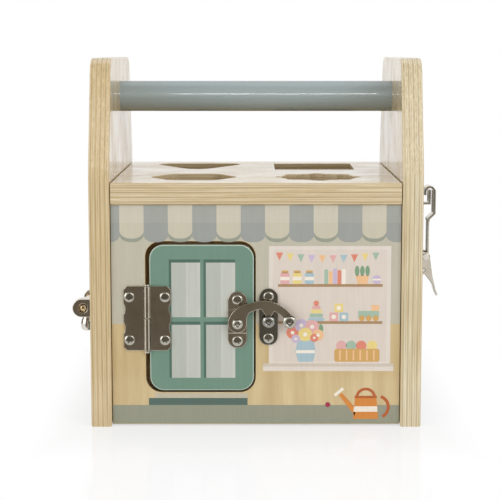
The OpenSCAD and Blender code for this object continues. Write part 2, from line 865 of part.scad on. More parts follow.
module bolt_guide(x0, l) {
    across(x0, x0 + l) {
        translate([bolt_z, bolt_out]) circle(guide_r);
        translate([bolt_z - guide_r, 0]) square([2 * guide_r, bolt_out]);
    }
}

module left_bolt_base() {
    half = bolt_plate_h / 2;
    x0 = rear_guide_x - rear_guide - 1.5;
    x1 = knob_x + knob_room + front_guide;
    color("silver") on_left() difference() {
        union() {
            linear_extrude(bolt_plate_t) rounded(x0, bolt_z - half, x1, bolt_z + half, half / 4);
            bolt_guide(knob_x + knob_room, front_guide);
            bolt_guide(rear_guide_x - rear_guide, rear_guide);
        }
        bar_x([x0 - depth, bolt_z, bolt_out], 2 * depth, bolt_r + run_gap);
        for (s = bolt_spots) disc(s[0], s[1], -bolt_plate_t, 2 * bolt_plate_t, shank_r + pilot_gap);
    }
}

module left_bolt_rod() {
    x0 = rear_guide_x - rear_guide - bolt_tail;
    long = keeper_x + keeper_l - pilot_end - x0;
    nip = bolt_r / 6;
    color("gainsboro") on_left() difference() {
        translate([x0, bolt_z, bolt_out]) rotate([0, 90, 0]) rotate_extrude() polygon([
            [0, 0], [bolt_r - nip, 0], [bolt_r, nip], [bolt_r, long - 2 * nip],
            [bolt_r - 2 * nip, long], [0, long]
        ]);
        bar_y([knob_x, bolt_z - 2 * bolt_r, bolt_out], 2 * bolt_r + peg_r / 2, peg_r + peg_gap);
    }
}

// The knob's outline goes down from the bolt's axis, in parts of its radius and length.
module left_bolt_knob() {
    bell = [[0.57, 0.47], [0.865, 0.6], [1, 0.724], [1, 0.862], [0.84, 0.943], [0.43, 0.989]];
    color("gainsboro") on_left() translate([knob_x, bolt_z, bolt_out]) difference() {
        rotate([90, 0, 0]) rotate_extrude() polygon([
            [0, 0], [peg_r, 0], [peg_r, 0.8 * bolt_r], [stem_r, 0.8 * bolt_r], [stem_r, 0.38 * knob_l],
            for (p = bell) [p[0] * knob_r, p[1] * knob_l],
            [0, knob_l]
        ]);
        difference() {
            bar_x([-knob_r, 0, 0], 2 * knob_r, bolt_r + run_gap / 2);
            bar_y([0, -2 * bolt_r, 0], 4 * bolt_r, peg_r);
        }
    }
}

// Right side toggle latch: lifting the lever raises the claw off the keeper's lip.

module right_toggle_keeper() {
    w = toggle_keeper_w / 2;
    low = open_top + toggle_keeper_gap;
    lip_out = claw_out + strip_out - claw_t / 2;
    color("silver") on_right() difference() {
        union() {
            linear_extrude(keeper_t) rounded(-w, low, w, low + toggle_keeper_h, w / 4);
            across(-lip_w / 2, lip_w / 2) {
                translate([lip_top - lip_l, keeper_t / 2])
                    square([claw_t, lip_out + claw_t - keeper_t / 2]);
                translate([lip_top - lip_l, lip_out]) square([lip_l, claw_t]);
            }
        }
        for (s = toggle_keeper_spots) disc(s[0], s[1], -keeper_t, 2 * keeper_t, shank_r + pilot_gap);
    }
}

module right_toggle_base() {
    w = toggle_base_w / 2;
    ear_x = lever_w / 2 + ear_gap;
    color("silver") on_right() difference() {
        union() {
            linear_extrude(toggle_base_t)
                rounded(-w, lever_z - toggle_base_down, w, lever_z + toggle_base_up, w / 4.5);
            for (m = [0, 1]) mirror([m, 0, 0]) across(ear_x, ear_x + sheet_t) {
                translate([lever_z, lever_out]) circle(ear_r);
                polygon([
                    [lever_z - ear_foot, toggle_base_t / 2], [lever_z + ear_foot, toggle_base_t / 2],
                    [lever_z + ear_r - 0.2, lever_out + 0.5], [lever_z - ear_r + 0.2, lever_out + 0.5]
                ]);
            }
        }
        across(-w, w) translate([lever_z, lever_out]) circle(pivot_r + run_gap);
        for (s = toggle_base_spots) disc(s[0], s[1], -keeper_t, 2 * keeper_t, shank_r + pilot_gap);
    }
}

module right_toggle_rivets() {
    in_x = lever_w / 2 - sheet_t - ear_gap / 2;
    out_x = lever_w / 2 + ear_gap + sheet_t + run_gap * 2;
    color("gainsboro") on_right() for (m = [0, 1]) mirror([m, 0, 0]) {
        across(in_x, out_x) translate([lever_z, lever_out]) circle(pivot_r);
        across(out_x, out_x + pivot_head_h) translate([lever_z, lever_out]) circle(pivot_head_r);
    }
}

module right_toggle_lever() {
    half = lever_w / 2;
    pivot = [lever_z, lever_out];
    pin = [claw_z, claw_out];
    bend = pivot + [-bend_down, bend_out];
    tip = pivot + [-tip_down, tip_out];
    end = tip + tip_curl * [-1, 0.44];
    side_end = bend + 0.5 * (tip - bend);
    under = sheet_t * [-0.3, -1];
    color("silver") on_right() difference() {
        union() {
            for (x = [-half, half - sheet_t]) across(x, x + sheet_t) {
                translate(pivot) circle(lever_eye);
                translate(pin) circle(lever_eye);
                polygon([
                    pivot + [0, lever_eye], bend, side_end, side_end + under,
                    pin + lever_eye * [-0.93, 0.36], pin - [0, lever_eye], pivot - [0, lever_eye]
                ]);
            }
            across(-half, half) polygon([bend, tip, end, end + under, tip + under, bend + under]);
        }
        across(-lever_w, lever_w) {
            translate(pivot) circle(pivot_r + run_gap);
            translate(pin) circle(pivot_r + run_gap);
        }
    }
}

module right_toggle_pin() {
    reach = lever_w / 2 + ear_gap / 2;
    color("gainsboro") on_right() across(-reach, reach) translate([claw_z, claw_out]) circle(pivot_r);
}

// The claw's strip leaves its eye, steps out over the keeper's lip and turns down behind it.
module right_toggle_claw() {
    top = lip_top - lip_gap;
    jog = top - hook_run;
    step = jog + jog_l;
    over = claw_out + strip_out;
    high = over + claw_r;
    in_r = claw_r - claw_t;
    nip = 0.6;
    color("silver") on_right() difference() {
        union() {
            across(-claw_w / 2, claw_w / 2) {
                translate([claw_z, claw_out]) circle(claw_eye);
                polygon([
                    [claw_z - nip, claw_out + nip], [claw_z - nip, claw_out + claw_eye],
                    [claw_z + strip_out, over], [jog, over], [jog, over - claw_t],
                    [claw_z + strip_out + nip, over - claw_t], [claw_z + claw_t, claw_out + nip]
                ]);
            }
            across(-hook_w / 2, hook_w / 2) {
                polygon([
                    [jog - claw_t, over - claw_t], [jog - claw_t, over], [jog, over], [step, high],
                    [top, high], [top, high - claw_t], [step + nip, high - claw_t],
                    [jog + nip, over - claw_t]
                ]);
                intersection() {
                    translate([top, over]) difference() {
                        circle(claw_r);
                        circle(in_r);
                    }
                    translate([top, over - 2 * claw_r]) square(4 * claw_r);
                }
                translate([top - in_r, over - claw_r]) square([in_r + 0.1, claw_t]);
            }
        }
        across(-claw_w, claw_w) translate([claw_z, claw_out]) circle(pivot_r + run_gap);
    }
}

// Back hook: a flat arm turns on a shouldered screw and drops over a headed post.

module hook_pilot(x) disc(x, hook_z, -hook_shank_l - pilot_end, collar_h, hook_shank_r + pilot_gap);

// A shank in the wood, a collar on it, a neck that the hook runs on and a head.
module hook_stud(x, neck_r) {
    neck = hook_top + arm_gap;
    color("gainsboro") on_back() {
        disc(x, hook_z, -hook_shank_l, 0, hook_shank_r);
        disc(x, hook_z, 0, collar_h, collar_r);
        disc(x, hook_z, collar_h, neck, neck_r);
        disc(x, hook_z, neck, neck + hook_head_h, hook_head_r);
    }
}

module back_hook_pivot() hook_stud(hook_x, hook_neck_r);
module back_hook_post() hook_stud(hook_x + hook_l, hook_post_r);

module back_hook_arm() {
    slot_r = hook_post_r + hook_gap;
    tab = hook_l + hook_tab;
    color("silver") on_back() translate([hook_x, hook_z, hook_low]) difference() {
        linear_extrude(hook_t) {
            circle(hook_eye);
            polygon([
                [0, -hook_eye / 2], [hook_l - slot_r, -hook_eye / 2], [hook_l - slot_r, hook_end / 2],
                [0, hook_end / 2]
            ]);
            translate([hook_l, 0]) circle(hook_end);
            polygon([
                [hook_l, hook_end / 2], [tab, hook_end * 0.75], [tab, hook_end * 1.25], [hook_l, hook_end]
            ]);
            translate([tab, hook_end]) circle(hook_neck_r);
        }
        disc(0, 0, -hook_t, 2 * hook_t, hook_neck_r + run_gap);
        disc(hook_l, 0, -hook_t, 2 * hook_t, slot_r);
        translate([hook_l - slot_r, -2 * hook_end, -hook_t]) cube([2 * slot_r, 2 * hook_end, 3 * hook_t]);
    }
}

left_side_panel();
right_side_panel();
top_plate();
front_panel();
back_panel();
bottom_plate();
handle_bar();
panel_dowels();
front_hinge_frame_leaf();
front_hinge_pin();
front_frame_screws();
front_catch_plate();
front_catch_post();
left_hinge_frame_leaf();
left_hinge_pin();
left_frame_screws();
left_bolt_keeper();
right_hinge_frame_leaf();
right_hinge_pin();
right_frame_screws();
right_toggle_keeper();
back_hinge_frame_leaf();
back_hinge_pin();
back_frame_screws();
back_hook_post();
front_door_slab();
front_hinge_door_leaf();
front_door_screws();
front_latch_base();
front_latch_rivet();
front_latch_arm();
front_latch_button();
left_door_slab();
left_hinge_door_leaf();
left_door_screws();
left_bolt_base();
left_bolt_rod();
left_bolt_knob();
right_door_slab();
right_hinge_door_leaf();
right_door_screws();
right_toggle_base();
right_toggle_rivets();
right_toggle_lever();
right_toggle_pin();
right_toggle_claw();
back_door_slab();
back_hinge_door_leaf();
back_door_screws();
back_hook_pivot();
back_hook_arm();
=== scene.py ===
import json
import math

import bmesh
import bpy
from mathutils import Matrix, Vector
from mathutils.geometry import tessellate_polygon


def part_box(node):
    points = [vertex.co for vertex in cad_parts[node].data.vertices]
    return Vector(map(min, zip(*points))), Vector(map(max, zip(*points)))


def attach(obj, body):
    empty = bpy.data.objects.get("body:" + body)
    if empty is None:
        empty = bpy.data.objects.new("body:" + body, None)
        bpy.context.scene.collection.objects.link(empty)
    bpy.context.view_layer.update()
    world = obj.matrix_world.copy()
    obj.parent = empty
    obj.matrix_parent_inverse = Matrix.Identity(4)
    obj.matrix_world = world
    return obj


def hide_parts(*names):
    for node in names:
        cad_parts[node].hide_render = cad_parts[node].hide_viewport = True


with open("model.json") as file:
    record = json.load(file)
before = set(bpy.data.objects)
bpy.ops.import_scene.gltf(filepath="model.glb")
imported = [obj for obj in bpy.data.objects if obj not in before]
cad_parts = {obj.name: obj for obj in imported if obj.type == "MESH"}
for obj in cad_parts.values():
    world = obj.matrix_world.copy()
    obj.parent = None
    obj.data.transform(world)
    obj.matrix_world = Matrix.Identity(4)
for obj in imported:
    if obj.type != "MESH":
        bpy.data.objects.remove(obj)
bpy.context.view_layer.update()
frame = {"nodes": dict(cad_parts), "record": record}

scene = bpy.context.scene
scene.view_settings.view_transform = "Standard"
mm = 0.001
axisOf = {"x": 0, "y": 1, "z": 2}
print("frame loaded:", len(frame["nodes"]), "nodes")

bodies = frame["record"]["behaviour"]["bodies"]
bodyOf = {node: body for body, members in bodies.items() for node in members}


# shader nodes and meshes

def linear(rgb):
    # 0-255 display values to the linear values that sockets take
    shares = [c / 255 for c in rgb]
    return (*(c / 12.92 if c <= 0.04045 else ((c + 0.055) / 1.055) ** 2.4 for c in shares), 1.0)


def toned(colour, red, green, blue):
    return (colour[0] * red, colour[1] * green, colour[2] * blue, 1)


def feed(tree, socket, value):
    # a link from another socket, or a plain value
    if isinstance(value, bpy.types.NodeSocket):
        tree.links.new(value, socket)
    else:
        socket.default_value = value


def addNode(tree, kind, inputs=None, **settings):
    node = tree.nodes.new(kind)
    for key, value in settings.items():
        setattr(node, key, value)
    for key, value in (inputs or {}).items():
        feed(tree, node.inputs[key], value)
    return node


def maths(tree, operation, *values):
    # one Math node on sockets or numbers
    return addNode(tree, "ShaderNodeMath", dict(enumerate(values)), operation=operation).outputs[0]


def times(tree, value, factor):
    return maths(tree, "MULTIPLY", value, factor)


def ramp(tree, value, slope, base):
    return maths(tree, "MULTIPLY_ADD", value, slope, base)


def stretch(tree, value, low, high):
    # the range from low to high, drawn out to 0 to 1
    inputs = {"Value": value, "From Min": low, "From Max": high}
    return addNode(tree, "ShaderNodeMapRange", inputs).outputs["Result"]


def easeTo(tree, value, near, far):
    # near at 0 and below, far at 1 and above
    inputs = {"Value": value, "To Min": near, "To Max": far}
    node = addNode(tree, "ShaderNodeMapRange", inputs, interpolation_type="SMOOTHSTEP")
    return node.outputs["Result"]


def mixColour(tree, factor, a, b):
    return addNode(tree, "ShaderNodeMix", {0: factor, 6: a, 7: b}, data_type="RGBA").outputs[2]


def mixShader(tree, factor, a, b):
    return addNode(tree, "ShaderNodeMixShader", {0: factor, 1: a, 2: b}).outputs[0]


def noise(tree, coord, scale, detail, rough=0.5):
    inputs = {"Vector": coord, "Scale": scale, "Detail": detail, "Roughness": rough}
    return addNode(tree, "ShaderNodeTexNoise", inputs).outputs["Fac"]


def bareMaterial(name):
    mat = bpy.data.materials.new(name)
    mat.use_nodes = True
    mat.node_tree.nodes.clear()
    return mat, mat.node_tree, addNode(mat.node_tree, "ShaderNodeTexCoord").outputs["Object"]


def newMesh(name, verts, polys, material):
    mesh = bpy.data.meshes.new(name)
    mesh.from_pydata(verts, [], polys)
    mesh.materials.append(material)
    return mesh


def placed(name, data):
    piece = bpy.data.objects.new(name, data)
    scene.collection.objects.link(piece)
    return piece


# camera, light and floor

view = {"place": (0.0, -0.9439, 0.2167), "pitch": 7.53, "lens": 110.02, "sensor": 36.0, "shiftX": -0.012}

camData = bpy.data.cameras.new("camera")
camData.lens = view["lens"]
camData.sensor_width = view["sensor"]
camData.shift_x = view["shiftX"]
camera = placed("camera", camData)
camera.location = view["place"]
camera.rotation_euler = (math.radians(90 - view["pitch"]), 0, 0)
scene.camera = camera

studio = {"sky": 0.53, "cardDark": (0.165, 0.145, 0.118, 1), "cardPale": (0.215, 0.19, 0.155, 1)}
world = bpy.data.worlds.new("studio")
scene.world = world
world.use_nodes = True
tree = world.node_tree
tree.nodes.clear()
rays = addNode(tree, "ShaderNodeLightPath").outputs
seen = maths(tree, "MAXIMUM", rays["Is Camera Ray"], rays["Is Glossy Ray"])
seen = maths(tree, "MAXIMUM", seen, rays["Is Transmission Ray"])
sky = addNode(tree, "ShaderNodeBackground",
              {0: (1, 1, 1, 1), 1: ramp(tree, seen, 1 - studio["sky"], studio["sky"])})
addNode(tree, "ShaderNodeOutputWorld", {0: sky.outputs[0]})

lamps = {   # place, aim, size and power
    "keyLamp": ((0.75, -0.85, 0.75), (0, 0, 0.08), (0.8, 0.8), 5.8),
    "fillLamp": ((-0.9, -0.7, 0.45), (0, 0, 0.08), (0.8, 0.8), 3.8),
    "topLamp": ((0, 0.1, 1.0), (0, 0, 0.1), (0.8, 0.8), 0.9),
    "stripLamp": ((0.03, -1.3, 0.58), (0.03, 0, 0.19), (0.30, 0.09), 2.4),
}


def areaLamp(name, place, aim, size, power):
    data = bpy.data.lights.new(name, "AREA")
    data.shape = "RECTANGLE"
    data.size, data.size_y = size
    data.energy = power
    lamp = placed(name, data)
    lamp.location = place
    lamp.rotation_euler = (Vector(aim) - Vector(place)).to_track_quat("-Z", "Y").to_euler()
    return lamp


lampOf = {name: areaLamp(name, *plan) for name, plan in lamps.items()}


def stagePlane(name, corners, material):
    obj = placed(name, newMesh(name, corners, [(0, 1, 2, 3)], material))
    return obj


floor = {"corners": [(-4, -4, 0), (4, -4, 0), (4, 4, 0), (-4, 4, 0)], "tone": (0.93, 0.93, 0.93, 1),
         "rough": 0.12, "fade": 0.72, "sheen": 0.10}
fades = {"halfWidth": 0.095, "halfDepth": 0.083, "side": 28, "end": 12, "front": 3.5, "sheenSide": 0.4}


def floorMaterial():
    # pale and faintly glossy near the object, running out to the white of the background
    # its fades start at the object's edges and grow by so much per metre
    mat, tree, coord = bareMaterial("floorWhite")
    x, y, _ = addNode(tree, "ShaderNodeSeparateXYZ", {0: coord}).outputs
    rays = addNode(tree, "ShaderNodeLightPath").outputs
    deep, side, end, front = fades["halfDepth"], fades["side"], fades["end"], fades["front"]
    aside = ramp(tree, maths(tree, "ABSOLUTE", x), side, -fades["halfWidth"] * side)
    ahead = ramp(tree, maths(tree, "ABSOLUTE", y), end, -deep * end)
    fade = easeTo(tree, maths(tree, "MAXIMUM", aside, ahead), floor["fade"], 1.0)
    plain = times(tree, fade, rays["Is Camera Ray"])
    plain = maths(tree, "MAXIMUM", plain, rays["Is Glossy Ray"])
    matte = addNode(tree, "ShaderNodeBsdfDiffuse", {"Color": floor["tone"]})
    white = addNode(tree, "ShaderNodeEmission")
    both = mixShader(tree, plain, matte.outputs[0], white.outputs[0])
    near = maths(tree, "MAXIMUM", ramp(tree, y, -front, -deep * front), ramp(tree, y, end, -deep * end))
    near = maths(tree, "MAXIMUM", near, times(tree, aside, fades["sheenSide"]))
    sheen = times(tree, rays["Is Camera Ray"], easeTo(tree, near, floor["sheen"], 0.0))
    shine = addNode(tree, "ShaderNodeBsdfGlossy", {"Color": (1, 1, 1, 1), "Roughness": floor["rough"]})
    soft = mixShader(tree, sheen, both, shine.outputs[0])
    addNode(tree, "ShaderNodeOutputMaterial", {0: soft})
    return mat


def cardMaterial():
    # blotchy dark on the object's side, clear from behind
    mat, tree, coord = bareMaterial("darkCard")
    blotch = stretch(tree, noise(tree, coord, 9, 2), 0.36, 0.66)
    dark = addNode(tree, "ShaderNodeEmission",
                   {0: mixColour(tree, blotch, studio["cardDark"], studio["cardPale"])})
    clear = addNode(tree, "ShaderNodeBsdfTransparent")
    behind = addNode(tree, "ShaderNodeNewGeometry").outputs["Backfacing"]
    card = mixShader(tree, behind, dark.outputs[0], clear.outputs[0])
    addNode(tree, "ShaderNodeOutputMaterial", {0: card})
    return mat


stagePlane("floor", floor["corners"], floorMaterial())
cards = {   # cards round the object, for the metal to mirror: four corners each, the low edge first
    "roomCard": ((-0.19, -0.20, 0.002), (0.115, -0.20, 0.002), (0.115, -0.28, 0.21), (-0.19, -0.28, 0.21)),
    "roomFlag": ((-0.5, -0.30, 0.335), (0.5, -0.30, 0.335), (0.5, -0.03, 0.56), (-0.5, -0.03, 0.56)),
    "roomSide": ((0.117, -0.22, 0.085), (0.19, -0.22, 0.085), (0.19, -0.26, 0.17), (0.117, -0.26, 0.17)),
    "leftCard": ((-0.42, 0.30, 0.002), (-0.42, -0.05, 0.002), (-0.42, -0.05, 0.19), (-0.42, 0.30, 0.19)),
    "rightCard": ((0.42, -0.05, 0.002), (0.42, 0.30, 0.002), (0.42, 0.30, 0.19), (0.42, -0.05, 0.19)),
    "backCard": ((0.09, 0.40, 0.002), (-0.09, 0.40, 0.002), (-0.09, 0.40, 0.095), (0.09, 0.40, 0.095)),
}
roomMaterial = cardMaterial()
for name, corners in cards.items():
    card = stagePlane(name, corners[::-1], roomMaterial)
    card.visible_camera = card.visible_diffuse = card.visible_shadow = False
print("camera, light and floor done")


# materials

def newSurface(name):
    # a material, its tree, the shader's inputs and the texture coordinates
    mat = bpy.data.materials.new(name)
    mat.use_nodes = True
    tree = mat.node_tree
    return mat, tree, tree.nodes["Principled BSDF"].inputs, addNode(tree, "ShaderNodeTexCoord").outputs


def dress(tree, shader, values):
    for key, value in values.items():
        feed(tree, shader[key], value)


def bump(tree, height, strength, distance):
    inputs = {"Height": height, "Strength": strength, "Distance": distance}
    return addNode(tree, "ShaderNodeBump", inputs).outputs[0]


def streaks(tree, coord, grain, along, across, detail, seed):
    # noise drawn out along the grain axis; along and across are repeats per metre
    scale = [across] * 3
    scale[axisOf[grain]] = along
    shift = (seed, seed * 0.7, seed * 1.3)
    mapping = addNode(tree, "ShaderNodeMapping", {"Vector": coord, "Location": shift, "Scale": scale})
    return noise(tree, mapping.outputs[0], 1.0, detail, 0.6)


birchTones = {"pale": (219, 197, 150), "deep": (197, 170, 119), "layerPale": (225, 206, 166),
              "layerDark": (194, 169, 124), "glue": (148, 120, 82)}


def birchPly(name, grain, layers, middle, thick, plies, seed, paint=None, edgeTones=None):
    # birch face with fine grain; edge faces show the glued layers across the layers axis
    # paint, if given, is a colour, a side of that axis and the depth to which it goes round the edge
    mat, tree, shader, coords = newSurface(name)
    spot = coords["Object"]
    tone = {key: linear(value) for key, value in birchTones.items()}
    palePly, darkPly = edgeTones or (birchTones["layerPale"], birchTones["layerDark"])

    def lines(along, across, detail, shift, low, high):
        return stretch(tree, streaks(tree, spot, grain, along, across, detail, seed + shift), low, high)

    fine = lines(45, 900, 3, 4, 0.3, 0.7)
    face = mixColour(tree, lines(9, 95, 5, 0, 0.35, 0.68), tone["pale"], tone["deep"])
    face = mixColour(tree, times(tree, fine, 0.22), face, tone["deep"])
    face = mixColour(tree, times(tree, lines(120, 620, 2, 9, 0.64, 0.78), 0.25), face, tone["layerDark"])

    depth = addNode(tree, "ShaderNodeSeparateXYZ", {0: spot}).outputs[axisOf[layers]]
    wobble = ramp(tree, streaks(tree, spot, grain, 14, 60, 3, seed + 2), 0.7, -0.35)
    level = ramp(tree, depth, plies / (thick * mm), plies * (0.5 - middle / thick))
    level = ramp(tree, wobble, 0.9, level)
    odd = stretch(tree, maths(tree, "PINGPONG", level, 1.0), 0.3, 0.7)
    edge = mixColour(tree, times(tree, odd, 0.75), linear(palePly), linear(darkPly))
    edge = mixColour(tree, times(tree, lines(22, 1300, 4, 6, 0.36, 0.68), 0.7), edge, tone["deep"])
    glue = stretch(tree, maths(tree, "PINGPONG", level, 0.5), 0.24, 0.03)
    glue = times(tree, glue, lines(30, 500, 3, 8, 0.36, 0.56))
    edge = mixColour(tree, times(tree, glue, 0.62), edge, tone["glue"])

    facing = addNode(tree, "ShaderNodeSeparateXYZ", {0: coords["Normal"]}).outputs[axisOf[layers]]
    flat = maths(tree, "GREATER_THAN", maths(tree, "ABSOLUTE", facing), 0.72)
    wood = mixColour(tree, flat, edge, face)
    if paint:
        tint, side, lap = paint
        front = (side * middle + thick / 2 - lap) * mm
        coated = maths(tree, "GREATER_THAN", times(tree, depth, side), front)
        wood = mixColour(tree, coated, wood, linear(tint))
    cloud = lines(38, 75, 4, 12, 0.36, 0.62)
    dress(tree, shader, {
        "Base Color": wood,
        "Roughness": ramp(tree, flat, -0.06, ramp(tree, fine, 0.10, 0.42)),
        "Coat Weight": ramp(tree, cloud, 0.42, 0.54),
        "Coat Roughness": ramp(tree, cloud, -0.05, 0.15),
        "Coat IOR": 1.6,
        "Normal": bump(tree, fine, 0.12, 0.0004),
    })
    return mat


def printedInk(name, grain):
    # flat print that lets the wood's grain and the press's fine mottle through
    mat, tree, shader, coords = newSurface(name)
    spot = coords["Object"]
    ink = addNode(tree, "ShaderNodeAttribute", attribute_name="ink").outputs["Color"]
    fibre = stretch(tree, streaks(tree, spot, grain, 40, 700, 3, 3), 0.3, 0.7)
    shade = ramp(tree, noise(tree, spot, 1400, 2), 0.05, ramp(tree, fibre, 0.05, 0.95))
    tone = addNode(tree, "ShaderNodeVectorMath", {0: ink, "Scale": shade}, operation="SCALE")
    dress(tree, shader, {
        "Base Color": tone.outputs[0],
        "Roughness": ramp(tree, fibre, 0.08, 0.46),
        "Specular IOR Level": 0.4,
        "Normal": bump(tree, fibre, 0.08, 0.0003),
    })
    return mat


def brushedPaint(name, tint, rough, coat):
    # paint over wood: soft mottling and faint brush lines along x
    mat, tree, shader, coords = newSurface(name)
    brush = stretch(tree, streaks(tree, coords["Object"], "x", 12, 500, 3, 5), 0.3, 0.7)
    base = linear(tint)
    lines = bump(tree, brush, 0.06, 0.0003)
    dress(tree, shader, {
        "Base Color": mixColour(tree, brush, base, toned(base, 1.06, 1.06, 1.06)),
        "Roughness": ramp(tree, brush, 0.06, rough),
        "Coat Weight": coat,
        "Coat Roughness": 0.04,
        "Normal": lines,
        "Coat Normal": lines,
    })
    return mat


def felt(name, tint):
    # matted fibres: fine noise in colour and height
    mat, tree, shader, coords = newSurface(name)
    fuzz = noise(tree, coords["Object"], 2200, 4)
    base = linear(tint)
    dress(tree, shader, {
        "Base Color": mixColour(tree, fuzz, base, toned(base, 1.6, 1.6, 1.6)),
        "Roughness": 0.95,
        "Normal": bump(tree, fuzz, 0.4, 0.0003),
    })
    return mat


def nickel(name, tint, rough):
    # plated steel with fine rubbing marks and slightly uneven polish
    mat, tree, shader, coords = newSurface(name)
    spot = coords["Object"]
    rubbed = stretch(tree, streaks(tree, spot, "z", 120, 1500, 2, 2), 0.3, 0.72)
    cloudy = stretch(tree, noise(tree, spot, 110, 4), 0.35, 0.7)
    base = linear(tint)
    dress(tree, shader, {
        "Base Color": mixColour(tree, cloudy, base, toned(base, 0.86, 0.84, 0.81)),
        "Metallic": 1.0,
        "Roughness": ramp(tree, rubbed, 0.05, rough),
        "Normal": bump(tree, rubbed, 0.02, 0.0001),
    })
    return mat


# pale paint round the doors' eased edges: a painted highlight along the rims
doorRimHighlight = (186, 204, 189)
# paler edge layers for the right side panel: painted light, as if lit from the right
rightEdgeLit = ((234, 224, 194), (203, 188, 152))
plateEdge = ((230, 214, 180), (201, 180, 143))
gapShadeEdges = ((112, 98, 70), (90, 76, 52))   # dark edge layers of the front and back panels: painted shade for the door gaps
finishes = {
    "sideLeft": birchPly("sideBirchLeft", "z", "x", -89, 12, 9, 1.0),
    "sideRight": birchPly("sideBirchRight", "z", "x", 89, 12, 9, 3.0, None, rightEdgeLit),
    "plate": birchPly("plateBirch", "x", "z", 135, 12, 9, 5.0, None, plateEdge),
    "floorBoard": birchPly("bottomBirch", "x", "z", 4.5, 9, 7, 7.0),
    "front": birchPly("frontBirch", "z", "y", -76.5, 9, 7, 9.0, None, gapShadeEdges),
    "back": birchPly("backBirch", "z", "y", 76.5, 9, 7, 11.0, None, gapShadeEdges),
    "doorFront": birchPly("frontDoorWood", "z", "y", -76.5, 9, 7, 9.0, (doorRimHighlight, -1, 1.0)),
    "doorBack": birchPly("backDoorWood", "z", "y", 76.5, 9, 7, 11.0, (doorRimHighlight, 1, 1.0)),
    "doorLeft": birchPly("leftDoorWood", "z", "x", -90.5, 9, 7, 13.0, (doorRimHighlight, -1, 1.0)),
    "doorRight": birchPly("rightDoorWood", "z", "x", 90.5, 9, 7, 15.0, (doorRimHighlight, 1, 1.0)),
    "ink": printedInk("printedInk", "z"),
    "felt": felt("woolFelt", (146, 118, 82)),
    "bar": brushedPaint("barPaint", (144, 156, 157), 0.46, 0.5),
    "metalPlate": nickel("nickelPlate", (208, 200, 186), 0.12),
    # darker copy of the nickel for the catch plate and post: painted shade for their darker reflections
    "metalDark": nickel("nickelDark", (158, 158, 152), 0.10),
    "metalWarm": nickel("nickelWarm", (236, 214, 172), 0.14),
    # paler copy of the nickel for pins, rivets, posts, knobs and pivots: a painted highlight
    "metalBright": nickel("nickelBright", (222, 217, 208), 0.10),
    # darker copy of the nickel for screw and rivet heads: painted shade that dims their bright rims
    "metalHead": nickel("nickelHead", (184, 181, 171), 0.15),
}
print("materials done:", len(finishes))


# boards and hardware on the CAD solids

faces = {   # from a face's own right, up and outward directions to the frame
    "front": Matrix(((1, 0, 0, 0), (0, 0, -1, -81 * mm), (0, 1, 0, 0), (0, 0, 0, 1))),
    "back": Matrix(((-1, 0, 0, 0), (0, 0, 1, 81 * mm), (0, 1, 0, 0), (0, 0, 0, 1))),
    "left": Matrix(((0, 0, -1, -95 * mm), (-1, 0, 0, 0), (0, 1, 0, 0), (0, 0, 0, 1))),
    "right": Matrix(((0, 0, 1, 95 * mm), (1, 0, 0, 0), (0, 1, 0, 0), (0, 0, 0, 1))),
}


def camel(name):
    first, *rest = name.split("_")
    return first + "".join(word.capitalize() for word in rest)


def settle(mesh, node):
    piece = placed(camel(node), mesh)
    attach(piece, bodyOf[node])
    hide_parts(node)
    return piece


def mergedMesh(node):
    bm = bmesh.new()
    bm.from_mesh(frame["nodes"][node].data)
    bmesh.ops.remove_doubles(bm, verts=bm.verts, dist=1e-6)
    return bm


def evaluated(raw, name):
    # the mesh that an object's modifiers make, in place of the object
    graph = bpy.context.evaluated_depsgraph_get()
    done = bpy.data.meshes.new_from_object(raw.evaluated_get(graph))
    bpy.data.objects.remove(raw)
    done.name = name
    return done


def twiceArea(ring):
    return sum(p[0] * q[1] - q[0] * p[1] for p, q in zip(ring, ring[1:] + ring[:1]))


def turnOf(p, q, s):
    # above 0 where three points turn to the left
    return (q[0] - p[0]) * (s[1] - p[1]) - (q[1] - p[1]) * (s[0] - p[0])


def discLoop(cx, cz, rx, rz, n):
    turns = [2 * math.pi * i / n for i in range(n)]
    return [(cx + rx * math.cos(turn), cz + rz * math.sin(turn)) for turn in turns]


board = {"steps": 3, "screwHole": 0.009, "smooth": 0.8}


def capLoops(node, axis, side):
    # outlines of a board's face at the low or high end of an axis, screw holes left out
    bm = mergedMesh(node)
    k = axisOf[axis]
    a, b = [i for i in range(3) if i != k]
    ends = [v.co[k] for v in bm.verts]
    level = max(ends) if side > 0 else min(ends)
    cap = {f for f in bm.faces if abs(f.normal[k]) > 0.99 and abs(f.calc_center_median()[k] - level) < 1e-5}
    follow = {}
    for face in cap:
        for loop in face.loops:
            if not any(other in cap for other in loop.edge.link_faces if other is not face):
                follow[loop.vert] = loop.link_loop_next.vert
    loops = []
    while follow:
        start, vert = follow.popitem()
        ring = [(start.co[a], start.co[b])]
        while vert is not start:
            ring.append((vert.co[a], vert.co[b]))
            vert = follow.pop(vert)
        if max(p[0] for p in ring) - min(p[0] for p in ring) > board["screwHole"]:
            loops.append(ring)
    bm.free()
    return loops


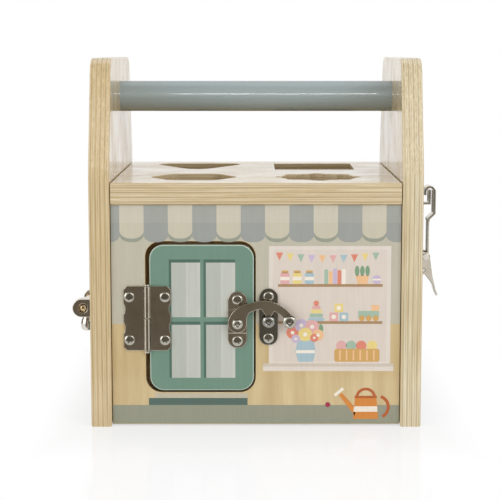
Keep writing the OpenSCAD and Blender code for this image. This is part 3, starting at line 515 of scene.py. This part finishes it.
def easedBoard(node, axis, side, ease, material, slot, short=0.0):
    # the board drawn again from its outline, with rounded edges and exact shading
    # short is the open joint left at its two ends along the first axis of the outline
    k = axisOf[axis]
    a, b = [i for i in range(3) if i != k]
    hand = 1 if k != 1 else -1
    low, high = (corner[k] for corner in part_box(node))
    ease = ease * mm
    steps = board["steps"]
    loops = sorted(capLoops(node, axis, side), key=lambda ring: -abs(twiceArea(ring)))
    for i, ring in enumerate(loops):
        if (twiceArea(ring) > 0) != (i == 0):
            ring.reverse()
    reach = max(p[0] for p in loops[0]) - short * mm
    loops[0] = [(max(-reach, min(reach, p[0])) if short else p[0], p[1]) for p in loops[0]]

    rings = []
    for centre, first in ((low + ease, -90), (high - ease, 0)):
        for i in range(steps + 1):
            turn = math.radians(first + 90 * i / steps)
            rings.append((ease * (1 - math.cos(turn)), centre + ease * math.sin(turn), turn))

    def spot(p, q, h):
        out = [0.0, 0.0, 0.0]
        out[a], out[b], out[k] = p, q, h
        return out

    verts, polys, normals = [], [], []
    caps = {0: [], len(rings) - 1: []}
    firsts = {0: [], len(rings) - 1: []}
    for ring in loops:
        count = len(ring)
        sides = []
        for p, q in zip(ring, ring[1:] + ring[:1]):
            d = Vector((q[0] - p[0], q[1] - p[1])).normalized()
            sides.append(Vector((d.y, -d.x)))
        start = len(verts)
        for r, (inset, h, _) in enumerate(rings):
            for i, p in enumerate(ring):
                n0, n1 = sides[i - 1], sides[i]
                m = (n0 + n1) / (1 + n0.dot(n1))
                verts.append(spot(p[0] - m.x * inset, p[1] - m.y * inset, h))
            if r in caps:
                caps[r].append([Vector((v[a], v[b], 0)) for v in verts[-count:]])
                firsts[r].extend(range(len(verts) - count, len(verts)))

        def shade(i, segment, turn):
            n0, n1 = sides[i - 1], sides[i]
            n = (n0 + n1).normalized() if n0.dot(n1) > board["smooth"] else sides[segment]
            return spot(n.x * math.cos(turn), n.y * math.cos(turn), math.sin(turn))

        for r in range(len(rings) - 1):
            for i in range(count):
                j = (i + 1) % count
                corners = [(r, i), (r, j), (r + 1, j), (r + 1, i)]
                if hand < 0:
                    corners.reverse()
                polys.append([start + row * count + col for row, col in corners])
                normals += [shade(col, i, rings[row][2]) for row, col in corners]
    for r, outlines in caps.items():
        up = -1 if r == 0 else 1
        for tri in tessellate_polygon(outlines):
            tri = [firsts[r][i] for i in tri]
            if turnOf(*[(verts[i][a], verts[i][b]) for i in tri]) * hand * up < 0:
                tri.reverse()
            polys.append(tri)
            normals += [spot(0, 0, up)] * 3

    mesh = newMesh(camel(node), verts, polys, finishes[material])
    mesh.polygons.foreach_set("use_smooth", [True] * len(polys))
    mesh.normals_split_custom_set(normals)
    settle(mesh, node)


boards = {   # axis across the board, outer side, rounding in millimetres, finish, slot and open joint
    "left_side_panel": ("x", -1, 1.0, "sideLeft", "birch_ply"),
    "right_side_panel": ("x", 1, 1.0, "sideRight", "birch_ply"),
    "top_plate": ("z", 1, 0.6, "plate", "birch_ply", 0.45),
    "bottom_plate": ("z", -1, 0.4, "floorBoard", "birch_ply"),
    "front_panel": ("y", -1, 0.25, "front", "birch_ply"),
    "back_panel": ("y", 1, 0.25, "back", "birch_ply"),
    "front_door_slab": ("y", -1, 0.6, "doorFront", "green_wood"),
    "back_door_slab": ("y", 1, 0.6, "doorBack", "green_wood"),
    "left_door_slab": ("x", -1, 0.6, "doorLeft", "green_wood"),
    "right_door_slab": ("x", 1, 0.6, "doorRight", "green_wood"),
}
for node, plan in boards.items():
    easedBoard(node, *plan)
print("boards done")

halved = {"front_latch_base": "x", "front_catch_plate": "x", "left_bolt_base": "z"}
latchEnd = {"nodes": ("front_latch_base", "front_catch_plate"), "corner": 3.0, "tall": 5.5, "flat": 0.9,
            "hole": 2.0, "holeLow": 2.1, "cuts": (3.5, 4.0, 4.5, 5.0, 5.5)}


def cutPlane(bm, place, axis):
    # splits a mesh at a plane and returns the edges of the cut
    across = Vector((0, 0, 0))
    across[axisOf[axis]] = 1
    parts = bmesh.ops.bisect_plane(bm, geom=bm.verts[:] + bm.edges[:] + bm.faces[:], dist=1e-7,
                                   plane_co=place, plane_no=across)["geom_cut"]
    return [part for part in parts if isinstance(part, bmesh.types.BMEdge)]


def halve(bm, node, axis):
    # an edge that stays down the middle of a plate's holes, so that each half is one plain face
    low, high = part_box(node)
    for edge in cutPlane(bm, (Vector(low) + Vector(high)) / 2, axis):
        edge.seam = True


def roundEnd(bm, node):
    # the lower end of a latch plate, drawn in from its two corners to a rounder end
    low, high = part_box(node)
    middle, half = (low[0] + high[0]) / 2, (high[0] - low[0]) / 2 / mm
    corner, tall, flat = latchEnd["corner"], latchEnd["tall"], latchEnd["flat"]
    for cut in latchEnd["cuts"]:
        cutPlane(bm, (0, 0, low[2] + cut * mm), "z")
    for vert in bm.verts:
        up = max(0.0, (vert.co.z - low[2]) / mm)
        across = abs(vert.co.x - middle) / mm
        kept = latchEnd["hole"] if up > latchEnd["holeLow"] else 0.0
        if up < tall and across > kept:
            before = half - corner + math.sqrt(corner ** 2 - max(0.0, corner - up) ** 2)
            after = flat + (half - flat) * math.sqrt(1 - ((tall - up) / tall) ** 2)
            drawn = kept + (across - kept) * (after - kept) / (before - kept)
            vert.co.x = middle + math.copysign(drawn * mm, vert.co.x - middle)


easing = {"flat": 0.6, "sharp": 38, "weight": 50}   # two angles in degrees and a share


def easedCopy(node, width, material, slot, segments=2):
    # the solid with its sharp edges rounded
    bm = mergedMesh(node)
    if node in latchEnd["nodes"]:
        roundEnd(bm, node)
    if node in halved:
        halve(bm, node, halved[node])
    bmesh.ops.dissolve_limit(bm, angle_limit=math.radians(easing["flat"]), verts=bm.verts, edges=bm.edges,
                             delimit={"SEAM"})
    for face in bm.faces:
        face.smooth = True
    mesh = bpy.data.meshes.new(camel(node) + "Raw")
    bm.to_mesh(mesh)
    bm.free()
    raw = placed(camel(node) + "Raw", mesh)
    bevel = raw.modifiers.new("ease", "BEVEL")
    bevel.width = width * mm
    bevel.segments = segments
    bevel.use_clamp_overlap = False
    bevel.limit_method = "ANGLE"
    bevel.angle_limit = math.radians(easing["sharp"])
    weigh = raw.modifiers.new("weigh", "WEIGHTED_NORMAL")
    weigh.mode = "FACE_AREA"
    weigh.weight = easing["weight"]
    done = evaluated(raw, camel(node))
    done.materials.clear()
    done.materials.append(finishes[material])
    return settle(done, node)


turned = {   # neck radius, head height, rim radius and the width of the sloping rim, in millimetres
    "front_latch_rivet": (1.6, 0.9, 3.1, 1.1),
    "front_catch_post": (2.4, 1.0, 3.6, 1.3),
    "front_latch_button": (1.5, 1.9, 3.9, 1.35),   # on a stud through the arm
}
wooden = {"handle_bar": (0.4, "bar", "painted_wood"), "panel_dowels": (0.3, "plate", "birch_ply")}
# bright lists the parts that take the paler nickel copy, a painted highlight; dark lists those that take the
# darker copy, painted shade
metal = {"ease": 0.32, "bright": ("pin", "rivet", "post", "knob", "pivot"),
         "dark": ("front_catch_plate", "front_catch_post")}
rounded = {"left_bolt_rod": (1.1, "metalWarm", "nickel_steel", 5)}
for node in frame["nodes"]:
    if node in boards or node in turned or node in wooden or "screws" in node:
        continue
    if node in rounded:
        easedCopy(node, *rounded[node])
        continue
    paintedLit = any(word in node for word in metal["bright"])
    finish = "metalDark" if node in metal["dark"] else "metalBright" if paintedLit else "metalPlate"
    easedCopy(node, metal["ease"], finish, "nickel_steel")
woodOf = {node: easedCopy(node, *plan) for node, plan in wooden.items()}
barLight = bpy.data.collections.new("barLight")
barLight.objects.link(woodOf["handle_bar"])
lampOf["stripLamp"].light_linking.receiver_collection = barLight   # the long highlight on the bar only


def turnedHead(node, neck, tall, rim, slope):
    # a riveted head: a wide sloping rim, a dished middle and a small stud in it
    face = faces[node.split("_")[0]]
    low, high = (face.inverted() @ Vector(p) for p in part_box(node))
    u, v, top, foot = (low.x + high.x) / 2, (low.y + high.y) / 2, max(low.z, high.z), min(low.z, high.z)
    crest = rim - slope
    drop = min(0.9, tall - 0.1)
    # radius and height from the top, in millimetres, from the foot up to the stud
    profile = [(neck, (foot - top) / mm), (neck, -tall), (rim - 0.1, -tall), (rim, -tall + 0.04)]
    profile += [(rim, -drop), (rim - 0.06, -drop + 0.1), (crest + 0.14, -0.07), (crest, 0.0)]
    profile += [(crest - 0.14, -0.02), (crest - 0.34, -0.22), (crest - 0.5, -0.28), (crest * 0.42, -0.28)]
    profile += [(crest * 0.36, -0.2), (crest * 0.22, -0.12)]
    count = 48
    verts = [(u, v, foot), (u, v, top - 0.1 * mm)]
    for radius, h in profile:
        verts += [(*p, top + h * mm) for p in discLoop(u, v, radius * mm, radius * mm, count)]
    last = 2 + (len(profile) - 1) * count
    polys = []
    for i in range(count):
        j = (i + 1) % count
        polys.append((0, 2 + j, 2 + i))
        polys.append((1, last + i, last + j))
        for first in range(2, last, count):
            polys.append((first + i, first + j, first + count + j, first + count + i))
    finish = "metalDark" if node in metal["dark"] else "metalHead"
    mesh = newMesh(camel(node), verts, polys, finishes[finish])
    mesh.transform(face)
    mesh.polygons.foreach_set("use_smooth", [True] * len(polys))
    mesh.set_sharp_from_angle(angle=math.radians(50))
    settle(mesh, node)


for node, plan in turned.items():
    turnedHead(node, *plan)
print("hardware done")


# screws, one pattern for all of them

screw = {"Head Radius": 3.1 * mm, "Head Height": 1.2 * mm, "Shank Radius": 1.2 * mm, "Shank Length": 6.5 * mm,
         "Slot Width": 0.75 * mm, "Slot Length": 3.4 * mm, "Slot Depth": 0.75 * mm}
firstSeed = 11


def screwPattern():
    # a domed head with a cross recess and a plain shank at every point, each turned its own way
    tree = bpy.data.node_groups.new("screwPattern", "GeometryNodeTree")
    sockets = [("Spots", "INPUT", "Geometry")] + [(label, "INPUT", "Float") for label in screw]
    sockets += [("Seed", "INPUT", "Int"), ("Metal", "INPUT", "Material"), ("Screws", "OUTPUT", "Geometry")]
    for label, way, kind in sockets:
        tree.interface.new_socket(label, in_out=way, socket_type="NodeSocket" + kind)
    given = addNode(tree, "NodeGroupInput").outputs

    def shape(kind, **inputs):
        return addNode(tree, "GeometryNodeMesh" + kind, inputs).outputs["Mesh"]

    def triple(x, y, z):
        return addNode(tree, "ShaderNodeCombineXYZ", {0: x, 1: y, 2: z}).outputs[0]

    def place(geometry, **moves):
        return addNode(tree, "GeometryNodeTransform", {"Geometry": geometry, **moves}).outputs[0]

    def joined(operation, first, others):
        inputs = {"Mesh 1": first} if first else {}
        node = addNode(tree, "GeometryNodeMeshBoolean", inputs, operation=operation, solver="EXACT")
        for other in others:
            tree.links.new(other, node.inputs["Mesh 2"])
        return node.outputs["Mesh"]

    dome = place(shape("UVSphere", Segments=40, Rings=24, Radius=1.0),
                 Scale=triple(given["Head Radius"], given["Head Radius"], given["Head Height"]))
    shank = place(shape("Cylinder", Vertices=24, Radius=given["Shank Radius"], Depth=given["Shank Length"]),
                  Translation=triple(0, 0, times(tree, given["Shank Length"], -0.5)))
    wide = times(tree, given["Head Radius"], 3)
    below = shape("Cube", Size=triple(wide, wide, wide))
    tools = [place(below, Translation=triple(0, 0, times(tree, wide, -0.5)))]
    for x, y in (("Slot Length", "Slot Width"), ("Slot Width", "Slot Length")):
        slot = shape("Cube", Size=triple(given[x], given[y], times(tree, given["Slot Depth"], 2)))
        tools.append(place(slot, Translation=triple(0, 0, given["Head Height"])))
    head = joined("DIFFERENCE", dome, tools)
    whole = joined("UNION", None, [head, shank])

    share = addNode(tree, "GeometryNodeInputNamedAttribute", {"Name": "share"}, data_type="FLOAT").outputs[0]
    spin = addNode(tree, "FunctionNodeRandomValue", {3: math.pi, "Seed": given["Seed"]}, data_type="FLOAT")
    copies = addNode(tree, "GeometryNodeInstanceOnPoints", {
        "Points": given["Spots"],
        "Instance": whole,
        "Rotation": triple(0, 0, spin.outputs[1]),
        "Scale": triple(share, share, 1),
    })
    real = addNode(tree, "GeometryNodeRealizeInstances", {0: copies.outputs[0]}).outputs[0]
    plated = addNode(tree, "GeometryNodeSetMaterial", {"Geometry": real, "Material": given["Metal"]})
    addNode(tree, "NodeGroupOutput", {0: plated.outputs[0]})
    return tree


def islands(node):
    # boxes of a node's separate solids
    bm = mergedMesh(node)
    left = set(bm.verts)
    boxes = []
    while left:
        found = [left.pop()]
        for vert in found:   # grows as neighbours are found
            near = {other for edge in vert.link_edges for other in edge.verts} & left
            left -= near
            found += near
        boxes.append([[end(v.co[i] for v in found) for i in range(3)] for end in (min, max)])
    bm.free()
    return sorted(boxes)


def screwSet(node, pattern, seed):
    face = faces[node.split("_")[0]]
    spots, shares = [], []
    for box in islands(node):
        p, q = (face.inverted() @ Vector(corner) for corner in box)
        spots.append(((p.x + q.x) / 2, (p.y + q.y) / 2, max(p.z, q.z) - screw["Head Height"]))
        shares.append(abs(q.x - p.x) / 2 / screw["Head Radius"])
    mesh = bpy.data.meshes.new(camel(node) + "Spots")
    mesh.from_pydata(spots, [], [])
    mesh.attributes.new("share", "FLOAT", "POINT").data.foreach_set("value", shares)
    raw = placed(camel(node) + "Spots", mesh)
    maker = raw.modifiers.new("screws", "NODES")
    maker.node_group = pattern
    values = {**screw, "Seed": seed, "Metal": finishes["metalHead"]}
    for item in pattern.interface.items_tree:
        if item.in_out == "INPUT" and item.name in values:
            maker[item.identifier] = values[item.name]
    done = evaluated(raw, camel(node))
    if "share" in done.attributes:
        done.attributes.remove(done.attributes["share"])
    done.transform(face)
    done.set_sharp_from_angle(angle=math.radians(40))
    done.polygons.foreach_set("use_smooth", [True] * len(done.polygons))
    settle(done, node)


pattern = screwPattern()
for i, node in enumerate(sorted(n for n in frame["nodes"] if n.endswith("screws"))):
    screwSet(node, pattern, firstSeed + i)
print("screws done")


# printed faces, in millimetres on each face

def rectLoop(x0, z0, x1, z1):
    return [(x0, z0), (x1, z0), (x1, z1), (x0, z1)]


def arcPoints(cx, cz, r, start, end, n=16, tall=None):
    turns = [math.radians(start + (end - start) * i / n) for i in range(n + 1)]
    return [(cx + r * math.cos(turn), cz + (tall or r) * math.sin(turn)) for turn in turns]


def roundLoop(x0, z0, x1, z1, r, n=8):
    centres = ((x1 - r, z1 - r), (x0 + r, z1 - r), (x0 + r, z0 + r), (x1 - r, z0 + r))
    return [p for i, centre in enumerate(centres) for p in arcPoints(*centre, r, 90 * i, 90 * i + 90, n)]


def scallopLoop(x0, x1, top, bottom, drop, side):
    # a hanging flap with rounded lower corners
    left = arcPoints(x0 + side, bottom + drop, side, 180, 270, 8, drop)
    right = arcPoints(x1 - side, bottom + drop, side, 270, 360, 8, drop)
    return [(x1, top), (x0, top)] + left + right


def strokeLoop(points, width):
    # a line of even width along some points
    left, right = [], []
    for i, p in enumerate(points):
        before = Vector(points[max(i - 1, 0)])
        after = Vector(points[min(i + 1, len(points) - 1)])
        d = (after - before).normalized() * width / 2
        left.append((p[0] - d.y, p[1] + d.x))
        right.append((p[0] + d.y, p[1] - d.x))
    return left + right[::-1]


film = {"first": 0.02, "step": 0.012, "under": 0.05}   # height of layer 0, of a layer more, and the sunk part


class Sheet:
    # shapes printed on one face, each a closed film a few hundredths of a millimetre thick

    def __init__(self, face):
        self.face = faces[face]
        self.verts, self.polys, self.inks = [], [], []

    def add(self, tint, loops, layer):
        if isinstance(loops[0][0], (int, float)):
            loops = [loops]
        top = (film["first"] + film["step"] * layer) * mm
        start = len(self.verts)
        flat = [p for loop in loops for p in loop]
        count = len(flat)
        for h in (top, -film["under"] * mm):
            self.verts += [self.face @ Vector((p[0] * mm, p[1] * mm, h)) for p in flat]
        self.inks += [linear(tints[tint])] * (2 * count)
        for tri in tessellate_polygon([[Vector((*p, 0)) for p in loop] for loop in loops]):
            if turnOf(*[flat[i] for i in tri]) < 0:
                tri = tri[::-1]
            self.polys.append([start + i for i in tri])
            self.polys.append([start + count + i for i in tri[::-1]])
        first = start
        for i, loop in enumerate(loops):
            outward = (twiceArea(loop) > 0) == (i == 0)
            for j in range(len(loop)):
                k = (j + 1) % len(loop)
                quad = [first + j, first + j + count, first + k + count, first + k]
                self.polys.append(quad if outward else quad[::-1])
            first += len(loop)

    def rect(self, tint, x0, z0, x1, z1, layer):
        self.add(tint, rectLoop(x0, z0, x1, z1), layer)

    def disc(self, tint, x, z, radius, layer, sides=32, tall=None):
        self.add(tint, discLoop(x, z, radius, tall or radius, sides), layer)

    def finish(self, name, body="carcass", slot="painted_wood"):
        mesh = newMesh(name, self.verts, self.polys, finishes["ink"])
        inks = mesh.color_attributes.new("ink", "FLOAT_COLOR", "POINT")
        inks.data.foreach_set("color", [c for ink in self.inks for c in ink])
        piece = placed(name, mesh)
        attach(piece, body)


tints = {
    "wall": (191, 186, 167), "plinth": (151, 152, 133), "creamFlap": (204, 197, 179), "step": (86, 108, 99),
    "grey": (163, 165, 158), "greyLow": (157, 159, 154), "sageFlap": (153, 156, 140), "pale": (194, 185, 163),
    "creamLow": (200, 193, 172), "door": (113, 144, 127), "shade": (80, 109, 96), "pane": (184, 187, 177),
    "bright": (198, 200, 191), "streak": (194, 196, 187), "dim": (182, 185, 175), "window": (219, 207, 195),
    "frame": (224, 213, 202), "sill": (207, 195, 179), "shelf": (170, 137, 99), "roseWall": (204, 172, 161),
    "roseDot": (218, 196, 186), "haze": (170, 183, 184), "hazeLine": (189, 199, 198),
    "coral": (222, 136, 113), "peach": (236, 190, 143), "yellow": (232, 210, 135), "sage": (164, 187, 166),
    "lilac": (200, 183, 207), "rose": (224, 172, 168), "sky": (168, 191, 199), "honey": (209, 165, 98),
    "leaf": (128, 160, 126), "cream": (240, 231, 217), "orange": (214, 137, 62), "rust": (183, 96, 48),
    "berry": (160, 52, 74),
}
wall = {"edge": 82.6, "low": 59.9, "foot": 1.4, "plinth": 12.4, "step": 16.5}
opening = {"left": -63.2, "right": -0.2, "low": 20.0, "high": 107.6, "round": 9.0, "lip": 0.28}
awning = {"top": 128.4, "fold": 118.3, "first": -77.7, "step": 13.81, "flaps": 12, "creamLow": 109.2,
          "greyLow": 107.1, "creamDrop": 4.6, "greyDrop": 4.8, "side": 6.2, "endSide": 5.6,
          "lap": 0.4, "cutLeft": 9.6, "cutRight": 6.3}


def shopWall(face, left, right):
    # a wall that goes round the upper part of a door's opening, and the plinth under it
    x, z = wall["edge"], wall["low"]
    a, b = left - opening["lip"], right + opening["lip"]
    high, r = opening["high"] + opening["lip"], opening["round"]
    outline = [(-x, z), (a, z), (a, high - r)] + arcPoints(a + r, high - r, r, 180, 90, 8)[1:]
    outline += arcPoints(b - r, high - r, r, 90, 0, 8)
    outline += [(b, z), (x, z), (x, awning["top"]), (-x, awning["top"])]
    sheet = Sheet(face)
    sheet.add("wall", outline, 0)
    sheet.rect("plinth", -x, wall["foot"], x, wall["plinth"], 0)
    return sheet


def drawFront():
    sheet = shopWall("front", opening["left"], opening["right"])
    sheet.rect("pale", -58.0, 16.4, -4.9, 19.4, 1)
    sheet.rect("step", -61.8, wall["plinth"], -4.9, wall["step"], 1)
    drawAwning(sheet)
    drawWindow(sheet)
    drawCan(sheet)
    sheet.finish("frontPrint")


def drawBack():
    sheet = shopWall("back", -31.5, 31.5)
    sheet.rect("step", -29.0, wall["plinth"], 29.0, wall["step"], 1)
    drawAwning(sheet)
    sheet.finish("backPrint")


def drawAwning(sheet):
    # grey and cream flaps in turn; the first and the last one are cut off at the wall's edges
    edge, top, fold, low = wall["edge"], awning["top"], awning["fold"], awning["greyLow"]
    ends = [-edge] + [awning["first"] + awning["step"] * k for k in range(awning["flaps"])] + [edge]
    last = len(ends) - 2
    for k, (x0, x1) in enumerate(zip(ends, ends[1:])):
        if k % 2:
            drop, side = awning["creamDrop"], awning["side"]
            sheet.add("sageFlap", scallopLoop(x0, x1, top, low, drop, side), 1)
            sheet.add("creamLow", scallopLoop(x0, x1, top, awning["creamLow"], drop, side), 3)
            sheet.rect("creamFlap", x0, fold, x1, top, 4)
            continue
        left = x0 - awning["lap" if k else "cutLeft"]
        right = x1 + awning["cutRight" if k == last else "lap"]
        side = awning["endSide" if k in (0, last) else "side"]
        flap = scallopLoop(left, right, top, low, awning["greyDrop"], side)
        sheet.add("greyLow", [(min(max(x, -edge), edge), z) for x, z in flap], 2)
        sheet.rect("grey", max(left, -edge), fold, min(right, edge), top, 3)


window = {"box": (7.4, 36.6, 77.1, 104.9), "sillEnds": (4.0, 79.0), "shelfEnds": (12.6, 72.4),
          "shelves": (83.0, 61.5), "floor": 37.8}
bunting = ("coral", "yellow", "sage", "lilac", "peach", "rose", "sky", "coral", "yellow", "sage")


def drawWindow(sheet):
    x0, z0, x1, z1 = window["box"]
    left, right = window["sillEnds"]
    sheet.rect("frame", x0, z0, x1, z1, 1)
    sheet.rect("window", x0 + 2.2, window["floor"], x1 - 2.2, z1 - 2.0, 2)
    sheet.rect("frame", left, 32.4, right, 36.8, 2)
    sheet.rect("sill", left, 35.0, right, 36.8, 3)
    left, right = window["shelfEnds"]
    for z in window["shelves"]:
        sheet.rect("shelf", left, z - 1.6, right, z, 3)
    for i, tint in enumerate(bunting):
        x = 13.4 + i * 6.1
        sag = 1.6 * math.sin(math.pi * i / 9)
        sheet.add(tint, [(x - 2.1, 101.2 - sag), (x, 96.6 - sag), (x + 2.1, 101.2 - sag)], 4)
    drawJars(sheet, window["shelves"][0])
    drawBlocks(sheet, window["shelves"][1])
    drawBouquet(sheet, window["floor"])


def drawJars(sheet, z):
    # jars, books, a plant and a ball on the upper shelf
    for x, tint in ((16.5, "rose"), (23.5, "yellow"), (30.5, "sky")):
        sheet.add(tint, roundLoop(x - 2.6, z, x + 2.6, z + 6.6, 1.2, 4), 4)
        sheet.rect("cream", x - 2.6, z + 2.2, x + 2.6, z + 4.2, 5)
        sheet.rect("honey", x - 1.9, z + 6.4, x + 1.9, z + 7.8, 4)
    books = (("sage", 8.4), ("peach", 7.4), ("lilac", 9.0), ("coral", 8.0), ("cream", 8.6))
    for i, (tint, tall) in enumerate(books):
        x = 39.0 + i * 2.5
        sheet.rect(tint, x, z, x + 2.2, z + tall, 4)
    sheet.add("peach", [(58.0, z), (63.5, z), (64.6, z + 5), (56.9, z + 5)], 4)
    for x in (57.7, 60.7, 63.7):
        sheet.disc("leaf", x, z + 7.6, 1.3, 4, 16, 3.0)
    sheet.disc("lilac", 69.0, z + 2.6, 2.6, 4)
    sheet.rect("cream", 66.6, z + 2.1, 71.4, z + 3.1, 5)


def drawBlocks(sheet, z):
    # a ring stack, blocks and a cart on the lower shelf
    rings = (("sky", 4.6), ("sage", 3.9), ("yellow", 3.2), ("rose", 2.5))
    for i, (tint, half) in enumerate(rings):
        low = z + i * 2.3
        sheet.add(tint, roundLoop(34.5 - half, low, 34.5 + half, low + 2.1, 1.0, 4), 4)
    sheet.disc("coral", 34.5, z + 10.4, 1.6, 4)
    for x, up, tint in ((44.5, 0, "rose"), (50.3, 0, "sky"), (47.4, 5.2, "yellow")):
        sheet.rect(tint, x - 2.5, z + up, x + 2.5, z + up + 5.0, 4)
        sheet.disc("cream", x, z + up + 2.5, 1.3, 5, 16)
    sheet.rect("sage", 58.5, z + 2.0, 70.5, z + 6.0, 4)
    sheet.rect("peach", 66.0, z + 6.0, 70.5, z + 9.4, 4)
    for x in (60.6, 64.6, 68.6):
        sheet.disc("honey", x, z + 1.7, 1.7, 5, 16)


def drawBouquet(sheet, z):
    # a vase of flowers and a basket of balls on the window's floor
    vase = [(24.4, z), (32.6, z), (34.4, z + 6), (33.0, z + 12.5), (24.0, z + 12.5), (22.6, z + 6)]
    blooms = (("coral", 21.0, 17.0, 3.6), ("lilac", 26.0, 21.2, 3.8), ("rose", 32.2, 20.4, 4.0),
              ("yellow", 28.2, 16.0, 4.0), ("peach", 35.6, 15.6, 3.3), ("coral", 33.4, 14.0, 2.4),
              ("lilac", 22.8, 13.4, 2.4))
    sheet.add("sky", vase, 4)
    sheet.rect("cream", 23.0, z + 5.0, 34.0, z + 6.8, 5)
    for x, tall in ((20.2, 20.6), (37.2, 19.2)):
        sheet.disc("leaf", x, z + tall, 1.4, 4, 16, 2.8)
    for i, (tint, x, tall, r) in enumerate(blooms):
        sheet.disc(tint, x, z + tall, r, 5 + 0.5 * i)
        sheet.disc("cream", x, z + tall, r * 0.3, 9, 16)
    sheet.add("honey", roundLoop(45.0, z, 71.0, z + 7.6, 1.4, 5), 4)
    for i in range(6):
        x = 48.2 + i * 3.9
        sheet.rect("peach", x - 0.5, z + 0.8, x + 0.5, z + 6.8, 5)
    for x, tint in ((49.0, "rose"), (54.6, "sage"), (60.4, "coral"), (66.6, "yellow")):
        sheet.disc(tint, x, z + 9.4, 3.0, 3)


def drawCan(sheet):
    # a watering can on the ground in front of the shop, and a small ball
    sheet.add("orange", [(56.0, 4.2), (70.6, 4.2), (69.4, 17.4), (57.2, 17.4)], 2)
    sheet.add("orange", [(57.0, 6.0), (57.6, 10.4), (49.6, 19.6), (47.8, 18.2)], 2)
    sheet.add("cream", [(46.0, 17.4), (50.8, 21.6), (49.6, 22.8), (44.8, 18.6)], 3)
    sheet.add("rust", strokeLoop(arcPoints(70.0, 11.2, 6.4, -62, 72), 1.8), 2)
    sheet.add("rust", strokeLoop(arcPoints(63.3, 16.6, 5.2, 4, 176), 1.6), 2)
    sheet.add("cream", [(56.3, 8.4), (70.2, 8.4), (69.9, 11.6), (56.6, 11.6)], 3)
    sheet.rect("rust", 56.9, 16.4, 69.7, 17.8, 3)
    sheet.disc("berry", 41.4, 12.6, 1.5, 2)


sideFace = {"edge": 81.4, "top": 139.0, "band": 136.0, "door": 46, "lip": 1.0}
dots = {"rows": 14, "columns": 17, "left": -76, "low": 19, "across": 9.5, "up": 8.6, "radius": 1.1,
        "door": 50, "over": 128, "edge": 79}
stripes = {"pairs": 7, "first": 53.2, "step": 4.4, "half": 0.6}


def sideWall(face, tint):
    sheet = Sheet(face)
    edge, lip, top = sideFace["edge"], sideFace["lip"], sideFace["top"]
    far = sideFace["door"] + lip
    hole = roundLoop(-far, opening["low"] - lip, far, opening["high"] + lip, opening["round"])
    sheet.add(tint, [rectLoop(-edge, wall["plinth"], edge, top), hole], 0)
    sheet.rect("plinth", -edge, wall["foot"], edge, wall["plinth"], 0)
    sheet.rect("creamFlap", -edge, sideFace["band"], edge, top, 1)
    return sheet


def drawLeft():
    # a rose wall with dots
    sheet = sideWall("left", "roseWall")
    for row in range(dots["rows"]):
        for col in range(dots["columns"]):
            u = dots["left"] + dots["across"] * col + (dots["across"] / 2 if row % 2 else 0)
            v = dots["low"] + dots["up"] * row
            if abs(u) < dots["edge"] and (abs(u) > dots["door"] or v > dots["over"]):
                sheet.disc("roseDot", u, v, dots["radius"], 1, 12)
    sheet.finish("leftPrint")


def drawRight():
    # a haze-blue wall with upright lines
    sheet = sideWall("right", "haze")
    half, low, high = stripes["half"], wall["plinth"], sideFace["band"]
    for k in range(stripes["pairs"]):
        u = stripes["first"] + stripes["step"] * k
        for x in (-u, u):
            sheet.rect("hazeLine", x - half, low, x + half, high, 1)
    sheet.finish("rightPrint")


doors = {   # the painted field, and the ends of each column of panes
    "front": ((-60.1, 21.8, -2.0, 104.8), ((-48.4, -31.9), (-28.6, -11.9))),
    "back": ((-28.4, 21.8, 29.7, 104.8), ((-16.7, -0.2), (3.1, 19.8))),
    "left": ((-42.9, 21.8, 44.2, 104.8), ((-31.0, -9.0), (-5.6, 16.4), (19.8, 33.8))),
    "right": ((-44.2, 23.1, 44.2, 105.8), ((-33.0, -12.4), (-9.0, 9.0), (12.4, 33.0))),
}
panes = {"rows": ((63.8, 95.4), (28.4, 59.4)), "left": 1.4, "over": 1.8, "lap": 0.2, "round": 7.4,
         "glints": ((0.30, 0.05, "dim", 3), (0.51, 0.49, "streak", 3), (0.52, 0.06, "bright", 4),
                    (0.90, 0.10, "bright", 4))}   # start and width as shares of a pane


def drawDoor(face, field, columns):
    # a painted door with glazing bars that shade the panes
    sheet = Sheet(face)
    x0, z0, x1, z1 = field
    lap = panes["lap"]
    sheet.add("door", roundLoop(x0 - lap, z0 - lap, x1 + lap, z1 + lap, panes["round"]), 0)
    for low, high in panes["rows"]:
        for left, right in columns:
            sheet.rect("shade", left - panes["left"], low, right, high + panes["over"], 1)
            sheet.rect("pane", left, low, right, high, 2)
            wide = right - left
            for start, share, tint, layer in panes["glints"]:
                sheet.rect(tint, left + start * wide, low, left + (start + share) * wide, high, layer)
    sheet.finish(face + "DoorPrint", face + "_door", "green_wood")


strip = {"low": 29.5, "high": 98.0, "inner": 71.0, "face": 72.0, "gap": 71.85}


def feltStrip(name, hand, panelEnd, edge, doorEnd):
    # a felt strip glued inside the panel beside an opening; the closed door's edge rests against it
    inner, face, gap = hand * strip["inner"], hand * strip["face"], hand * strip["gap"]
    outline = [(panelEnd, face), (edge, face), (edge, gap), (doorEnd, gap)]
    outline += [(doorEnd, inner), (panelEnd, inner)]
    if twiceArea(outline) < 0:
        outline.reverse()
    count = len(outline)
    verts = [(x * mm, y * mm, z * mm) for z in (strip["low"], strip["high"]) for x, y in outline]
    polys = [(i, (i + 1) % count, count + (i + 1) % count, count + i) for i in range(count)]
    polys += [tuple(range(count))[::-1], tuple(range(count, 2 * count))]
    piece = placed(name, newMesh(name, verts, polys, finishes["felt"]))
    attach(piece, "carcass")


drawFront()
drawBack()
drawLeft()
drawRight()
for face, plan in doors.items():
    drawDoor(face, *plan)
feltStrip("frontFelt", -1, 3.0, -0.2, -3.6)
feltStrip("backFelt", 1, -34.7, -31.5, -28.1)
print("prints done")
